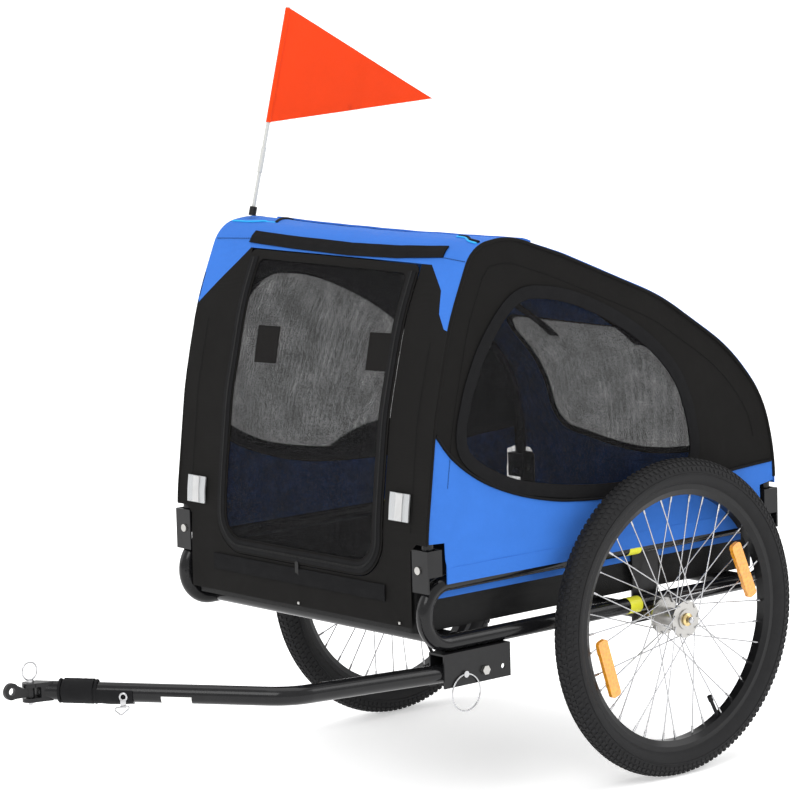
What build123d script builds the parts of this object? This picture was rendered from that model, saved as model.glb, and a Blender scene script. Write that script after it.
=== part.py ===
"""Two-wheeled bicycle trailer with a folding, fabric-covered cabin.

Frame: +Z up from the ground, -Y is the towing direction, +X the trailer's left. Millimetres.
The origin is on the ground at the middle of the overall length and width.
Side-view points are given from the wheel axle, because the frame is set out from it.
"""

import os
from math import cos, pi, radians, sin, tan

from build123d import *

os.makedirs("parts", exist_ok=True)

# Overall set-out
AXLE_Y = 378.75
SIDES = (("left", 1), ("right", -1))

# Wheels: 20 inch
WHEEL_R = 250.0
TRACK_HALF = 336.0
TYRE_R = 23.0
TYRE_WALL = 4.0
RIM_HALF_WIDTH = 12.5
RIM_OUTER_R = 213.0
RIM_INNER_R = 193.0
SPOKES = 36
SPOKE_R = 1.0
FIRST_NIPPLE = -0.69
SPOKE_LEAD = radians(60)
FLANGE_R = 29.0
FLANGE_X = (313.5, 358.5)
FLANGE_THICK = 3.0
HUB_ENDS = (308.0, 362.0)
HUB_R = 14.0
BEARING_R = 11.0
BEARING_WIDTH = 7.0
STUB_R = 6.0
RUNNING = 0.06
BUTTON_R = 2.4
REFLECTOR_SIZE = (20.0, 96.0, 7.0)
REFLECTOR_OUT = 13.5
REFLECTORS = {
    "left": ((radians(67), 148.0), (radians(252), 171.0)),
    "right": ((radians(80), 148.0), (radians(265), 171.0)),
}

# Base frame
RAIL_X = 285.0
RAIL_R = 12.5
RAIL_WALL = 1.5
RAIL_LOW_Z = 269.5
RAIL_HIGH_Z = 361.5
LOOP_FRONT_Y = -428.5
LOOP_REAR_Y = 221.5
CROSS_Z = 272.4
CROSS_YS = {"front_cross_tube": -415.0, "rear_cross_tube": 200.0}
PLATE_X = (268.4, 272.4)
RECEIVER_X = 225.0
RECEIVER_R = 12.0
BAND_Y = -44.0
BAND_WIDTH = 26.0

# Folding hoops and their hinges
HOOP_X = 285.0
HOOP_R = 9.5
HOOP_WALL = 1.2
HINGE_X = 280.0
HINGE_Z = 386.0
PIN_R = 3.0
FOOT_Z = 378.0
FRONT_FOOT_Y = -466.0
REAR_FOOT_Y = 257.0
HOOP_POINTS = (
    (FRONT_FOOT_Y, FOOT_Z),
    (-464, 440),
    (-442, 608),
    (-409, 745),
    (-363, 849),
    (-300, 857),
    (-196, 822),
    (14, 737),
    (160, 644),
    (233, 562),
    (REAR_FOOT_Y, 470),
    (REAR_FOOT_Y, FOOT_Z),
)
CORNER_R = 42.0
BAR_Y = -324.5
BAR_Z = 850.0
BAR_PIVOT_X = 262.0
BAR_R = 8.0
BAR_TIP_X = 11.5

# Fabric cover
PANEL_X = (295.0, 297.0)
PANEL_GROW = 9.7
COVER_INNER = 12.0
COVER_OUTER = 14.0
COVER_HALF = 298.0
SKIRT_X = (298.2, 300.2)
SKIRT_Z = (362.0, 386.0)
SKIRT_Y = (-440.0, 236.0)
NOTCH_Z = 424.0
CUFF_HALF = 262.0
HEM_Z = 296.0
PIPING = (
    (-500, 640),
    (-458, 592),
    (-418, 546),
    (-363, 508),
    (-296, 480),
    (-228, 462),
    (-164, 453),
    (-60, 447),
    (60, 449),
    (173, 457),
    (300, 463),
)
WINDOW = (
    (-399, 556),
    (-388, 642),
    (-345, 722),
    (-288, 775),
    (-225, 778),
    (-140, 754),
    (-30, 697),
    (50, 624),
    (84, 540),
    (82, 482),
    (20, 463),
    (-90, 460),
    (-215, 474),
    (-320, 501),
)
TUB_HALF = 264.0
TUB_Y = (-473.0, 258.0)
TUB_Z = (285.0, 358.0)
TUB_WALL = 2.5
TUB_CORNER_R = 12.0

# Front door
DOOR_HALF = 198.0
DOOR_Z = (362.0, 828.0)
DOOR_CORNER_R = 60.0
DOOR_GAP = 1.5
DOOR_BORDER = 30.0
DOOR_REACH = (-520.0, -340.0)

# Rear window
REAR_WINDOW_Z = (450.0, 680.0)
REAR_WINDOW_HALF = 215.0
REAR_WINDOW_CORNER_R = 50.0
REAR_WINDOW_REACH = (70.0, 330.0)

# Drawbar and hitch
DRAWBAR_X = 284.5
DRAWBAR_R = 14.0
DRAWBAR_WALL = 2.0
PIVOT_Y = -371.0
PIVOT_Z = 222.0
PIN_Y = -411.0
SPARE_Y = -333.0
BOLT_R = 4.0
CHANNEL_Y = (-452.0, -318.0)
CHANNEL_Z = (205.0, 256.9)
CHANNEL_HALF = 17.2
CHANNEL_GAP = 14.2
BEND = (DRAWBAR_X, -737.0, 239.0)
NOSE = (0.0, -972.0, 246.0)
HITCH_PIN_Y = -991.0
HITCH_Z = 246.0
EYE_Y = -1025.0
EYE_Z = 252.0
EYE_R = 12.5
EYE_BORE_R = 5.5
EYE_THICK = 6.0

# Flag
FLAG_X = -274.0
FLAG_BASE = (-326.0, 872.0)
FLAG_LEAN = 15.0
POLE_R = 3.0
POLE_LENGTH = 339.0
FLAG_FROM = 151.0
FLAG_HOIST = 186.0
FLAG_REACH = 318.0


def at(y, z):
    """Side-view point with y measured from the axle."""
    return (AXLE_Y + y, z)


def space(x, y, z):
    """Point in space with y measured from the axle."""
    return (x, AXLE_Y + y, z)


def side_plane(x):
    """Plane facing +X whose sketch axes are Y and Z."""
    return Plane.YZ.offset(x)


def axle_section(x):
    """Plane facing +X, centred on the wheel axle."""
    return Plane(origin=space(x, 0, WHEEL_R), x_dir=(0, 1, 0), z_dir=(1, 0, 0))


def front_view(x, y, z):
    """Plane facing forwards, -Y, whose sketch axes are X and Z, so a negative extrude goes back."""
    return Plane(origin=space(x, y, z), x_dir=(1, 0, 0), z_dir=(0, -1, 0))


def bend_radii(points, cap):
    """Largest smooth radius at each corner of a bent path, up to a cap."""
    radii = []
    for before, corner, after in zip(points, points[1:], points[2:]):
        run_in = Vector(*corner) - Vector(*before)
        run_out = Vector(*after) - Vector(*corner)
        half_turn = radians(run_in.get_angle(run_out)) / 2
        radii.append(min(cap, 0.45 * min(run_in.length, run_out.length) / tan(half_turn)))
    return radii


def side_rectangle(low, high, mode=Mode.ADD):
    """Rectangle in a side-view sketch, from its two corners."""
    (left, bottom), (right, top) = low, high
    with Locations(at((left + right) / 2, (bottom + top) / 2)):
        Rectangle(right - left, top - bottom, mode=mode)


hoop_radii = bend_radii(HOOP_POINTS, 420.0)
hoop_radii[3] = CORNER_R
hoop_points = [at(*point) for point in HOOP_POINTS]
hem_points = [at(REAR_FOOT_Y, HEM_Z), at(FRONT_FOOT_Y, HEM_Z)]


def grown_outline(grow):
    """Side outline of the cabin, grown outwards from the hoop's centre line."""
    with BuildSketch(Plane.YZ) as outline:
        with BuildLine():
            FilletPolyline(*hoop_points, radius=hoop_radii)
            Polyline(hoop_points[-1], *hem_points, hoop_points[0])
        make_face()
        offset(amount=grow)
    return outline.sketch_local


# Base frame: two tube loops, cross tubes and axle plates
for side, sign in SIDES:
    middle_z = (RAIL_LOW_Z + RAIL_HIGH_Z) / 2
    bend = (RAIL_HIGH_Z - RAIL_LOW_Z) / 2
    with BuildPart() as base_loop:
        with BuildLine(side_plane(sign * RAIL_X)) as loop_path:
            Line(at(LOOP_FRONT_Y, RAIL_LOW_Z), at(LOOP_REAR_Y, RAIL_LOW_Z))
            ThreePointArc(
                at(LOOP_REAR_Y, RAIL_LOW_Z),
                at(LOOP_REAR_Y + bend, middle_z),
                at(LOOP_REAR_Y, RAIL_HIGH_Z),
            )
            Line(at(LOOP_REAR_Y, RAIL_HIGH_Z), at(LOOP_FRONT_Y, RAIL_HIGH_Z))
            ThreePointArc(
                at(LOOP_FRONT_Y, RAIL_HIGH_Z),
                at(LOOP_FRONT_Y - bend, middle_z),
                at(LOOP_FRONT_Y, RAIL_LOW_Z),
            )
        with BuildSketch(front_view(sign * RAIL_X, LOOP_FRONT_Y, RAIL_LOW_Z)):
            Circle(RAIL_R)
            Circle(RAIL_R - RAIL_WALL, mode=Mode.SUBTRACT)
        sweep()
    base_loop.part.label = f"{side}_base_loop"
    export_step(base_loop.part, f"parts/{side}_base_loop.step")

    with BuildPart() as axle_plate:
        with BuildSketch(side_plane(sign * PLATE_X[0])):
            side_rectangle((-28, WHEEL_R - 14), (28, RAIL_HIGH_Z + 6))
        extrude(amount=sign * (PLATE_X[1] - PLATE_X[0]))
        with BuildSketch(axle_section(sign * RECEIVER_X)):
            Circle(RECEIVER_R)
        extrude(amount=sign * (PLATE_X[0] - RECEIVER_X))
        with BuildSketch(axle_section(sign * RECEIVER_X)):
            Circle(STUB_R)
        extrude(amount=sign * (PLATE_X[1] - RECEIVER_X), mode=Mode.SUBTRACT)
    axle_plate.part.label = f"{side}_axle_plate"
    export_step(axle_plate.part, f"parts/{side}_axle_plate.step")

for name, tube_y in CROSS_YS.items():
    with BuildPart() as cross_tube:
        with BuildSketch(Plane.YZ):
            with Locations(at(tube_y, CROSS_Z)):
                Circle(RAIL_R)
                Circle(RAIL_R - RAIL_WALL, mode=Mode.SUBTRACT)
        extrude(amount=RAIL_X - 4, both=True)
        for _, sign in SIDES:
            with BuildSketch(front_view(sign * RAIL_X, tube_y - 40, RAIL_LOW_Z)):
                Circle(RAIL_R)
            extrude(amount=-80, mode=Mode.SUBTRACT)
    cross_tube.part.label = name
    export_step(cross_tube.part, f"parts/{name}.step")

with BuildPart() as axle_beam:
    with BuildSketch(axle_section(0)):
        Circle(RECEIVER_R)
        Circle(RECEIVER_R - 2, mode=Mode.SUBTRACT)
    extrude(amount=RECEIVER_X, both=True)
axle_beam.part.label = "axle_beam"
export_step(axle_beam.part, "parts/axle_beam.step")

with BuildPart() as rail_bands:
    for _, sign in SIDES:
        for rail_z in (RAIL_LOW_Z, RAIL_HIGH_Z):
            with BuildSketch(front_view(sign * RAIL_X, BAND_Y - BAND_WIDTH / 2, rail_z)):
                Circle(RAIL_R + 0.5)
                Circle(RAIL_R, mode=Mode.SUBTRACT)
            extrude(amount=-BAND_WIDTH)
rail_bands.part.label = "rail_bands"
export_step(rail_bands.part, "parts/rail_bands.step")


# Hinge brackets at the four corners, and the rivets that the hoops turn on
BRACKET_X = (266.0, 301.0)
BRACKET_LOW = 352.0
BRACKET_TOP = 416.0
WEB_LOW = 376.0
PLATE = 3.0
FRONT_PLATE_Y = -479.5
FRONT_WEB_Y = -453.5
REAR_PLATE_Y = 272.5
REAR_WEB_Y = 245.0
CORNERS = (("front", FRONT_PLATE_Y, FRONT_WEB_Y, 1), ("rear", REAR_PLATE_Y, REAR_WEB_Y, -1))

with BuildPart() as corner_brackets:
    for _, sign in SIDES:
        for _, plate_y, web_y, inward in CORNERS:
            for face_y, low in ((plate_y, BRACKET_LOW), (web_y, WEB_LOW)):
                with BuildSketch(front_view(0, face_y, 0)):
                    with Locations((sign * (BRACKET_X[0] + BRACKET_X[1]) / 2, (low + BRACKET_TOP) / 2)):
                        Rectangle(BRACKET_X[1] - BRACKET_X[0], BRACKET_TOP - low)
                    with Locations((sign * HINGE_X, HINGE_Z)):
                        Circle(PIN_R, mode=Mode.SUBTRACT)
                extrude(amount=-inward * PLATE)
            with BuildSketch(side_plane(sign * (BRACKET_X[1] - PLATE))):
                side_rectangle(
                    (min(plate_y, web_y), WEB_LOW), (max(plate_y, web_y), BRACKET_TOP)
                )
            extrude(amount=sign * PLATE)
corner_brackets.part.label = "corner_brackets"
export_step(corner_brackets.part, "parts/corner_brackets.step")

RIVET_HEAD_R = 6.0
RIVET_HEAD = 2.5
with BuildPart() as hinge_rivets:
    for _, sign in SIDES:
        for _, plate_y, web_y, inward in CORNERS:
            reach = abs(web_y - plate_y) + PLATE
            with BuildSketch(front_view(sign * HINGE_X, plate_y, HINGE_Z)):
                Circle(PIN_R)
            extrude(amount=-inward * reach)
            with BuildSketch(front_view(sign * HINGE_X, plate_y, HINGE_Z)):
                Circle(RIVET_HEAD_R)
            extrude(amount=inward * RIVET_HEAD)
            with BuildSketch(front_view(sign * HINGE_X, plate_y + inward * reach, HINGE_Z)):
                Circle(RIVET_HEAD_R - 1)
            extrude(amount=-inward * RIVET_HEAD)
hinge_rivets.part.label = "hinge_rivets"
export_step(hinge_rivets.part, "parts/hinge_rivets.step")


# Side hoops that fold inwards, each with a lug for its half of the front cross bar
LUG_Y = (-331.0, -327.0)
LUG_R = 9.0
for side, sign in SIDES:
    with BuildPart() as hoop:
        with BuildLine(side_plane(sign * HOOP_X)):
            FilletPolyline(*hoop_points, radius=hoop_radii)
        with BuildSketch(Plane(origin=space(sign * HOOP_X, FRONT_FOOT_Y, FOOT_Z))):
            Circle(HOOP_R)
        sweep()
        with BuildSketch(front_view(0, LUG_Y[0], 0)):
            with Locations((sign * BAR_PIVOT_X, BAR_Z)):
                Circle(LUG_R)
            with Locations((sign * (BAR_PIVOT_X + 9), BAR_Z)):
                Rectangle(18, 12)
        extrude(amount=LUG_Y[0] - LUG_Y[1])
        with BuildSketch(front_view(sign * BAR_PIVOT_X, LUG_Y[0], BAR_Z)):
            Circle(PIN_R + RUNNING)
        extrude(amount=LUG_Y[0] - LUG_Y[1], mode=Mode.SUBTRACT)
        with BuildLine(side_plane(sign * HOOP_X)):
            FilletPolyline(*hoop_points, radius=hoop_radii)
        with BuildSketch(Plane(origin=space(sign * HOOP_X, FRONT_FOOT_Y, FOOT_Z))):
            Circle(HOOP_R - HOOP_WALL)
        sweep(mode=Mode.SUBTRACT)
        for foot_y in (FRONT_FOOT_Y, REAR_FOOT_Y):
            with BuildSketch(front_view(sign * HINGE_X, foot_y, HINGE_Z)):
                Circle(PIN_R + RUNNING)
            extrude(amount=HOOP_R + 2, both=True, mode=Mode.SUBTRACT)
    hoop.part.label = f"{side}_hoop"
    export_step(hoop.part, f"parts/{side}_hoop.step")

    with BuildPart() as cross_bar:
        with BuildSketch(front_view(0, BAR_Y - 2, 0)):
            with Locations((sign * BAR_PIVOT_X, BAR_Z)):
                Circle(LUG_R)
            with Locations((sign * (BAR_PIVOT_X - 9), BAR_Z)):
                Rectangle(18, 12)
        extrude(amount=-4)
        with BuildSketch(Plane.YZ.offset(sign * (BAR_PIVOT_X - 14))):
            with Locations(at(BAR_Y, BAR_Z)):
                Circle(BAR_R)
        extrude(amount=-sign * (BAR_PIVOT_X - 14 - BAR_TIP_X))
        with Locations(space(sign * BAR_TIP_X, BAR_Y, BAR_Z)):
            Sphere(BAR_R)
        with BuildSketch(front_view(sign * BAR_PIVOT_X, LUG_Y[0] - 2, BAR_Z)):
            Circle(PIN_R)
        extrude(amount=LUG_Y[0] - BAR_Y - 6)
    cross_bar.part.label = f"{side}_cross_bar"
    export_step(cross_bar.part, f"parts/{side}_cross_bar.step")


# Fabric sides: a black upper panel with a mesh window, and a blue lower panel
with BuildSketch(Plane.YZ) as below_piping:
    with BuildLine():
        Spline(*[at(*point) for point in PIPING])
        Polyline(at(*PIPING[-1]), at(300, HEM_Z), at(-500, HEM_Z), at(*PIPING[0]))
    make_face()
with BuildSketch(Plane.YZ) as window:
    with BuildLine():
        Spline(*[at(*point) for point in WINDOW], periodic=True)
    make_face()
with BuildSketch(Plane.YZ) as side_outline:
    add(grown_outline(PANEL_GROW))
    side_rectangle((-540, HEM_Z - 60), (340, HINGE_Z + 2), mode=Mode.SUBTRACT)
    side_rectangle((-540, HEM_Z), (SKIRT_Y[0], NOTCH_Z), mode=Mode.SUBTRACT)
    side_rectangle((SKIRT_Y[1], HEM_Z), (340, NOTCH_Z), mode=Mode.SUBTRACT)
with BuildSketch(Plane.YZ) as upper_outline:
    add(side_outline.sketch_local)
    add(below_piping.sketch_local, mode=Mode.SUBTRACT)
    add(window.sketch_local, mode=Mode.SUBTRACT)
with BuildSketch(Plane.YZ) as lower_outline:
    add(side_outline.sketch_local)
    add(below_piping.sketch_local, mode=Mode.INTERSECT)
    add(window.sketch_local, mode=Mode.SUBTRACT)
SIDE_SHEETS = (
    ("side_upper", upper_outline.sketch_local),
    ("side_lower", lower_outline.sketch_local),
    ("window_mesh", window.sketch_local),
)
for side, sign in SIDES:
    for name, outline in SIDE_SHEETS:
        with BuildPart() as side_sheet:
            with BuildSketch(side_plane(sign * PANEL_X[0])):
                add(outline)
            extrude(amount=sign * (PANEL_X[1] - PANEL_X[0]))
        side_sheet.part.label = f"{side}_{name}"
        export_step(side_sheet.part, f"parts/{side}_{name}.step")

with BuildPart() as side_skirts:
    for _, sign in SIDES:
        with BuildSketch(side_plane(sign * SKIRT_X[0])):
            side_rectangle((SKIRT_Y[0], SKIRT_Z[0]), (SKIRT_Y[1], SKIRT_Z[1]))
        extrude(amount=sign * (SKIRT_X[1] - SKIRT_X[0]))
side_skirts.part.label = "side_skirts"
export_step(side_skirts.part, "parts/side_skirts.step")


# Fabric front, roof and rear: one thin band round the hoops, cut into pieces
ROOF_REAR_Y = 60.0
FRONT_TOP_Z = 846.0
with BuildSketch(Plane.YZ) as cover_band:
    add(grown_outline(COVER_OUTER))
    add(grown_outline(COVER_INNER), mode=Mode.SUBTRACT)
    side_rectangle((-460, HEM_Z - 30), (250, HEM_Z + 120), mode=Mode.SUBTRACT)
    side_rectangle((-540, HEM_Z - 60), (340, HEM_Z), mode=Mode.SUBTRACT)
def door_prism(grow, corner_r):
    """Long prism along Y on the door's outline, grown outwards by an amount."""
    with BuildPart() as prism:
        with BuildSketch(Plane.XZ.offset(-AXLE_Y - DOOR_REACH[0])):
            with Locations((0, (DOOR_Z[0] + DOOR_Z[1]) / 2)):
                RectangleRounded(
                    2 * (DOOR_HALF + grow), DOOR_Z[1] - DOOR_Z[0] + 2 * grow, corner_r
                )
        extrude(amount=DOOR_REACH[0] - DOOR_REACH[1])
    return prism.part


door_outline = door_prism(0, DOOR_CORNER_R)
door_opening = door_prism(DOOR_GAP, DOOR_CORNER_R + DOOR_GAP)
door_window = door_prism(-DOOR_BORDER, DOOR_CORNER_R - DOOR_BORDER / 2)

with BuildPart() as bracket_notches:
    for _, sign in SIDES:
        for end_y in (-480, 300):
            with BuildSketch(Plane.XY.offset(HEM_Z - 5)):
                with Locations((sign * (CUFF_HALF + 30), AXLE_Y + end_y)):
                    Rectangle(60, 120)
            extrude(amount=NOTCH_Z - HEM_Z + 5)

with BuildPart() as front_panel:
    with BuildSketch(Plane.YZ):
        add(cover_band.sketch_local)
        side_rectangle((-540, HEM_Z - 5), (-345, FRONT_TOP_Z), mode=Mode.INTERSECT)
    extrude(amount=COVER_HALF, both=True)
    add(bracket_notches.part, mode=Mode.SUBTRACT)
    add(door_opening, mode=Mode.SUBTRACT)
front_panel.part.label = "front_panel"
export_step(front_panel.part, "parts/front_panel.step")

with BuildPart() as front_door:
    with BuildSketch(Plane.YZ):
        add(cover_band.sketch_local)
        side_rectangle((-540, HEM_Z - 5), (-345, FRONT_TOP_Z), mode=Mode.INTERSECT)
    extrude(amount=DOOR_HALF + 10, both=True)
    add(door_outline, mode=Mode.INTERSECT)
    add(door_window, mode=Mode.SUBTRACT)
front_door.part.label = "front_door"
export_step(front_door.part, "parts/front_door.step")

with BuildPart() as front_door_mesh:
    with BuildSketch(Plane.YZ):
        add(cover_band.sketch_local)
        side_rectangle((-540, HEM_Z - 5), (-345, FRONT_TOP_Z), mode=Mode.INTERSECT)
    extrude(amount=DOOR_HALF, both=True)
    add(door_window, mode=Mode.INTERSECT)
front_door_mesh.part.label = "front_door_mesh"
export_step(front_door_mesh.part, "parts/front_door_mesh.step")

with BuildPart() as roof_cover:
    with BuildSketch(Plane.YZ):
        add(cover_band.sketch_local)
        side_rectangle((-420, 700), (ROOF_REAR_Y, 900), mode=Mode.INTERSECT)
        side_rectangle((-540, HEM_Z - 5), (-345, FRONT_TOP_Z + 0.2), mode=Mode.SUBTRACT)
    extrude(amount=COVER_HALF, both=True)
roof_cover.part.label = "roof_cover"
export_step(roof_cover.part, "parts/roof_cover.step")

with BuildPart() as rear_window_prism:
    with BuildSketch(Plane.XZ.offset(-AXLE_Y - REAR_WINDOW_REACH[0])):
        with Locations((0, (REAR_WINDOW_Z[0] + REAR_WINDOW_Z[1]) / 2)):
            RectangleRounded(
                2 * REAR_WINDOW_HALF,
                REAR_WINDOW_Z[1] - REAR_WINDOW_Z[0],
                REAR_WINDOW_CORNER_R,
            )
    extrude(amount=REAR_WINDOW_REACH[0] - REAR_WINDOW_REACH[1])
with BuildPart() as rear_panel:
    with BuildSketch(Plane.YZ):
        add(cover_band.sketch_local)
        side_rectangle((ROOF_REAR_Y + 0.2, HEM_Z), (340, 760), mode=Mode.INTERSECT)
    extrude(amount=COVER_HALF, both=True)
    add(bracket_notches.part, mode=Mode.SUBTRACT)
    add(rear_window_prism.part, mode=Mode.SUBTRACT)
rear_panel.part.label = "rear_panel"
export_step(rear_panel.part, "parts/rear_panel.step")

with BuildPart() as rear_window_mesh:
    with BuildSketch(Plane.YZ):
        add(cover_band.sketch_local)
        side_rectangle((ROOF_REAR_Y + 0.2, HEM_Z), (340, 760), mode=Mode.INTERSECT)
    extrude(amount=COVER_HALF, both=True)
    add(rear_window_prism.part, mode=Mode.INTERSECT)
rear_window_mesh.part.label = "rear_window_mesh"
export_step(rear_window_mesh.part, "parts/rear_window_mesh.step")


# Tub and floor
tub_centre = (0, AXLE_Y + (TUB_Y[0] + TUB_Y[1]) / 2)
tub_length = TUB_Y[1] - TUB_Y[0]
with BuildPart() as tub:
    with BuildSketch(Plane.XY.offset(TUB_Z[0])):
        with Locations(tub_centre):
            RectangleRounded(2 * TUB_HALF, tub_length, TUB_CORNER_R)
    extrude(amount=TUB_Z[1] - TUB_Z[0])
    with BuildSketch(Plane.XY.offset(TUB_Z[0] + TUB_WALL)):
        with Locations(tub_centre):
            RectangleRounded(2 * (TUB_HALF - TUB_WALL), tub_length - 2 * TUB_WALL, TUB_CORNER_R - TUB_WALL)
    extrude(amount=TUB_Z[1], mode=Mode.SUBTRACT)
tub.part.label = "tub"
export_step(tub.part, "parts/tub.step")

FLOOR_THICK = 5.0
with BuildPart() as floor_board:
    with BuildSketch(Plane.XY.offset(TUB_Z[0] + TUB_WALL + 0.1)):
        with Locations(tub_centre):
            RectangleRounded(2 * (TUB_HALF - 6), tub_length - 12, 10)
    extrude(amount=FLOOR_THICK)
floor_board.part.label = "floor_board"
export_step(floor_board.part, "parts/floor_board.step")


# Wheels: tyre, rim, spokes with their nipples, hub, bearings and reflectors
axle_line = Axis(space(0, 0, WHEEL_R), (1, 0, 0))
radial_plane = Plane(origin=space(0, 0, WHEEL_R), x_dir=(1, 0, 0), z_dir=(0, -1, 0))


def radial_profile(points, sign):
    """Closed profile to turn about the axle: x outwards, then radius from the axle."""
    with BuildSketch(radial_plane) as profile:
        with BuildLine():
            Polyline(*[(sign * x, radius) for x, radius in points], close=True)
        make_face()
    return profile.sketch


def on_wheel(x, radius, angle):
    """Point at a radius and an angle turned from straight up towards the tail."""
    return space(x, radius * sin(angle), WHEEL_R + radius * cos(angle))


for side, sign in SIDES:
    middle_x = sign * TRACK_HALF
    with BuildPart() as tyre:
        with BuildSketch(radial_plane):
            with Locations((middle_x, WHEEL_R - TYRE_R)):
                Circle(TYRE_R)
                Circle(TYRE_R - TYRE_WALL, mode=Mode.SUBTRACT)
            with Locations((middle_x, RIM_OUTER_R - 25)):
                Rectangle(2 * RIM_HALF_WIDTH, 50, mode=Mode.SUBTRACT)
        revolve(axis=axle_line)
    tyre.part.label = f"{side}_tyre"
    export_step(tyre.part, f"parts/{side}_tyre.step")

    with BuildPart() as rim:
        half = RIM_HALF_WIDTH
        rim_section = [
            (TRACK_HALF - half, RIM_OUTER_R),
            (TRACK_HALF - half, RIM_INNER_R + 9),
            (TRACK_HALF - 8, RIM_INNER_R),
            (TRACK_HALF + 8, RIM_INNER_R),
            (TRACK_HALF + half, RIM_INNER_R + 9),
            (TRACK_HALF + half, RIM_OUTER_R),
            (TRACK_HALF + half - 2, RIM_OUTER_R),
            (TRACK_HALF + half - 2, RIM_INNER_R + 10),
            (TRACK_HALF + 7, RIM_INNER_R + 3),
            (TRACK_HALF - 7, RIM_INNER_R + 3),
            (TRACK_HALF - half + 2, RIM_INNER_R + 10),
            (TRACK_HALF - half + 2, RIM_OUTER_R),
        ]
        add(radial_profile(rim_section, sign))
        revolve(axis=axle_line)
    rim.part.label = f"{side}_rim"
    export_step(rim.part, f"parts/{side}_rim.step")

    with BuildPart() as hub:
        barrel_in, barrel_out = HUB_ENDS
        profile = [
            (barrel_in, BEARING_R),
            (barrel_in, HUB_R + 2),
            (FLANGE_X[0] - FLANGE_THICK / 2, HUB_R + 2),
            (FLANGE_X[0] - FLANGE_THICK / 2, FLANGE_R),
            (FLANGE_X[0] + FLANGE_THICK / 2, FLANGE_R),
            (FLANGE_X[0] + FLANGE_THICK / 2, HUB_R),
            (FLANGE_X[1] - FLANGE_THICK / 2, HUB_R),
            (FLANGE_X[1] - FLANGE_THICK / 2, FLANGE_R),
            (FLANGE_X[1] + FLANGE_THICK / 2, FLANGE_R),
            (FLANGE_X[1] + FLANGE_THICK / 2, HUB_R + 2),
            (barrel_out, HUB_R + 2),
            (barrel_out, BEARING_R),
            (barrel_out - BEARING_WIDTH, BEARING_R),
            (barrel_out - BEARING_WIDTH, BEARING_R - 3),
            (barrel_in + BEARING_WIDTH, BEARING_R - 3),
            (barrel_in + BEARING_WIDTH, BEARING_R),
        ]
        add(radial_profile(profile, sign))
        revolve(axis=axle_line)
    hub.part.label = f"{side}_hub"
    export_step(hub.part, f"parts/{side}_hub.step")

    with BuildPart() as bearings:
        for start_x in (barrel_in, barrel_out - BEARING_WIDTH):
            with BuildSketch(axle_section(sign * start_x)):
                Circle(BEARING_R)
                Circle(STUB_R + RUNNING, mode=Mode.SUBTRACT)
            extrude(amount=sign * BEARING_WIDTH)
    bearings.part.label = f"{side}_bearings"
    export_step(bearings.part, f"parts/{side}_bearings.step")

    with BuildPart() as spokes:
        for number in range(SPOKES):
            angle = FIRST_NIPPLE + 2 * pi * number / SPOKES
            outer_flange = number % 2
            lead = 1 if (number // 2) % 2 else -1
            flange_x = FLANGE_X[outer_flange]
            flange_side = 1 if outer_flange else -1
            hub_end = Vector(*on_wheel(sign * (flange_x + 2.7 * lead), FLANGE_R - 4, angle + SPOKE_LEAD * lead))
            rim_x = TRACK_HALF + 3 * flange_side + 1.3 * lead
            rim_end = Vector(*on_wheel(sign * rim_x, RIM_INNER_R + 1, angle))
            run = rim_end - hub_end
            with BuildSketch(Plane(origin=hub_end, z_dir=run)):
                Circle(SPOKE_R)
            extrude(amount=run.length)
            with BuildSketch(Plane(origin=rim_end, z_dir=-run)):
                Circle(SPOKE_R + 0.8)
            extrude(amount=13)
    spokes.part.label = f"{side}_spokes"
    export_step(spokes.part, f"parts/{side}_spokes.step")

    with BuildPart() as reflectors:
        for angle, radius in REFLECTORS[side]:
            centre = on_wheel(sign * (TRACK_HALF + REFLECTOR_OUT), radius, angle)
            facing = Plane(
                origin=centre,
                x_dir=(0, sin(angle), cos(angle)),
                z_dir=(1, 0, 0),
            )
            with BuildSketch(facing):
                RectangleRounded(REFLECTOR_SIZE[0], REFLECTOR_SIZE[1], 6)
            extrude(amount=sign * REFLECTOR_SIZE[2])
    reflectors.part.label = f"{side}_reflectors"
    export_step(reflectors.part, f"parts/{side}_reflectors.step")

    with BuildPart() as stub_axle:
        profile = [
            (RECEIVER_X + 4, BUTTON_R + RUNNING),
            (RECEIVER_X + 4, STUB_R),
            (PLATE_X[1] + 1, STUB_R),
            (PLATE_X[1] + 26, STUB_R),
            (PLATE_X[1] + 26, STUB_R + 4),
            (HUB_ENDS[0] - 1, STUB_R + 4),
            (HUB_ENDS[0] - 1, STUB_R),
            (HUB_ENDS[1] + 0.6, STUB_R),
            (HUB_ENDS[1] + 0.6, STUB_R + 4),
            (HUB_ENDS[1] + 3, STUB_R + 4),
            (HUB_ENDS[1] + 5, STUB_R + 1),
            (HUB_ENDS[1] + 5, BUTTON_R + RUNNING),
        ]
        add(radial_profile(profile, sign))
        revolve(axis=axle_line)
    stub_axle.part.label = f"{side}_stub_axle"
    export_step(stub_axle.part, f"parts/{side}_stub_axle.step")

    with BuildPart() as release_button:
        rod_end = HUB_ENDS[1] + 9.2
        profile = [
            (RECEIVER_X + 30, 0),
            (RECEIVER_X + 30, BUTTON_R),
            (rod_end, BUTTON_R),
            (rod_end, STUB_R - 0.5),
            (rod_end + 2, STUB_R - 1),
            (rod_end + 3, STUB_R - 3),
            (rod_end + 3, 0),
        ]
        add(radial_profile(profile, sign))
        revolve(axis=axle_line)
    release_button.part.label = f"{side}_release_button"
    export_step(release_button.part, f"parts/{side}_release_button.step")


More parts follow.
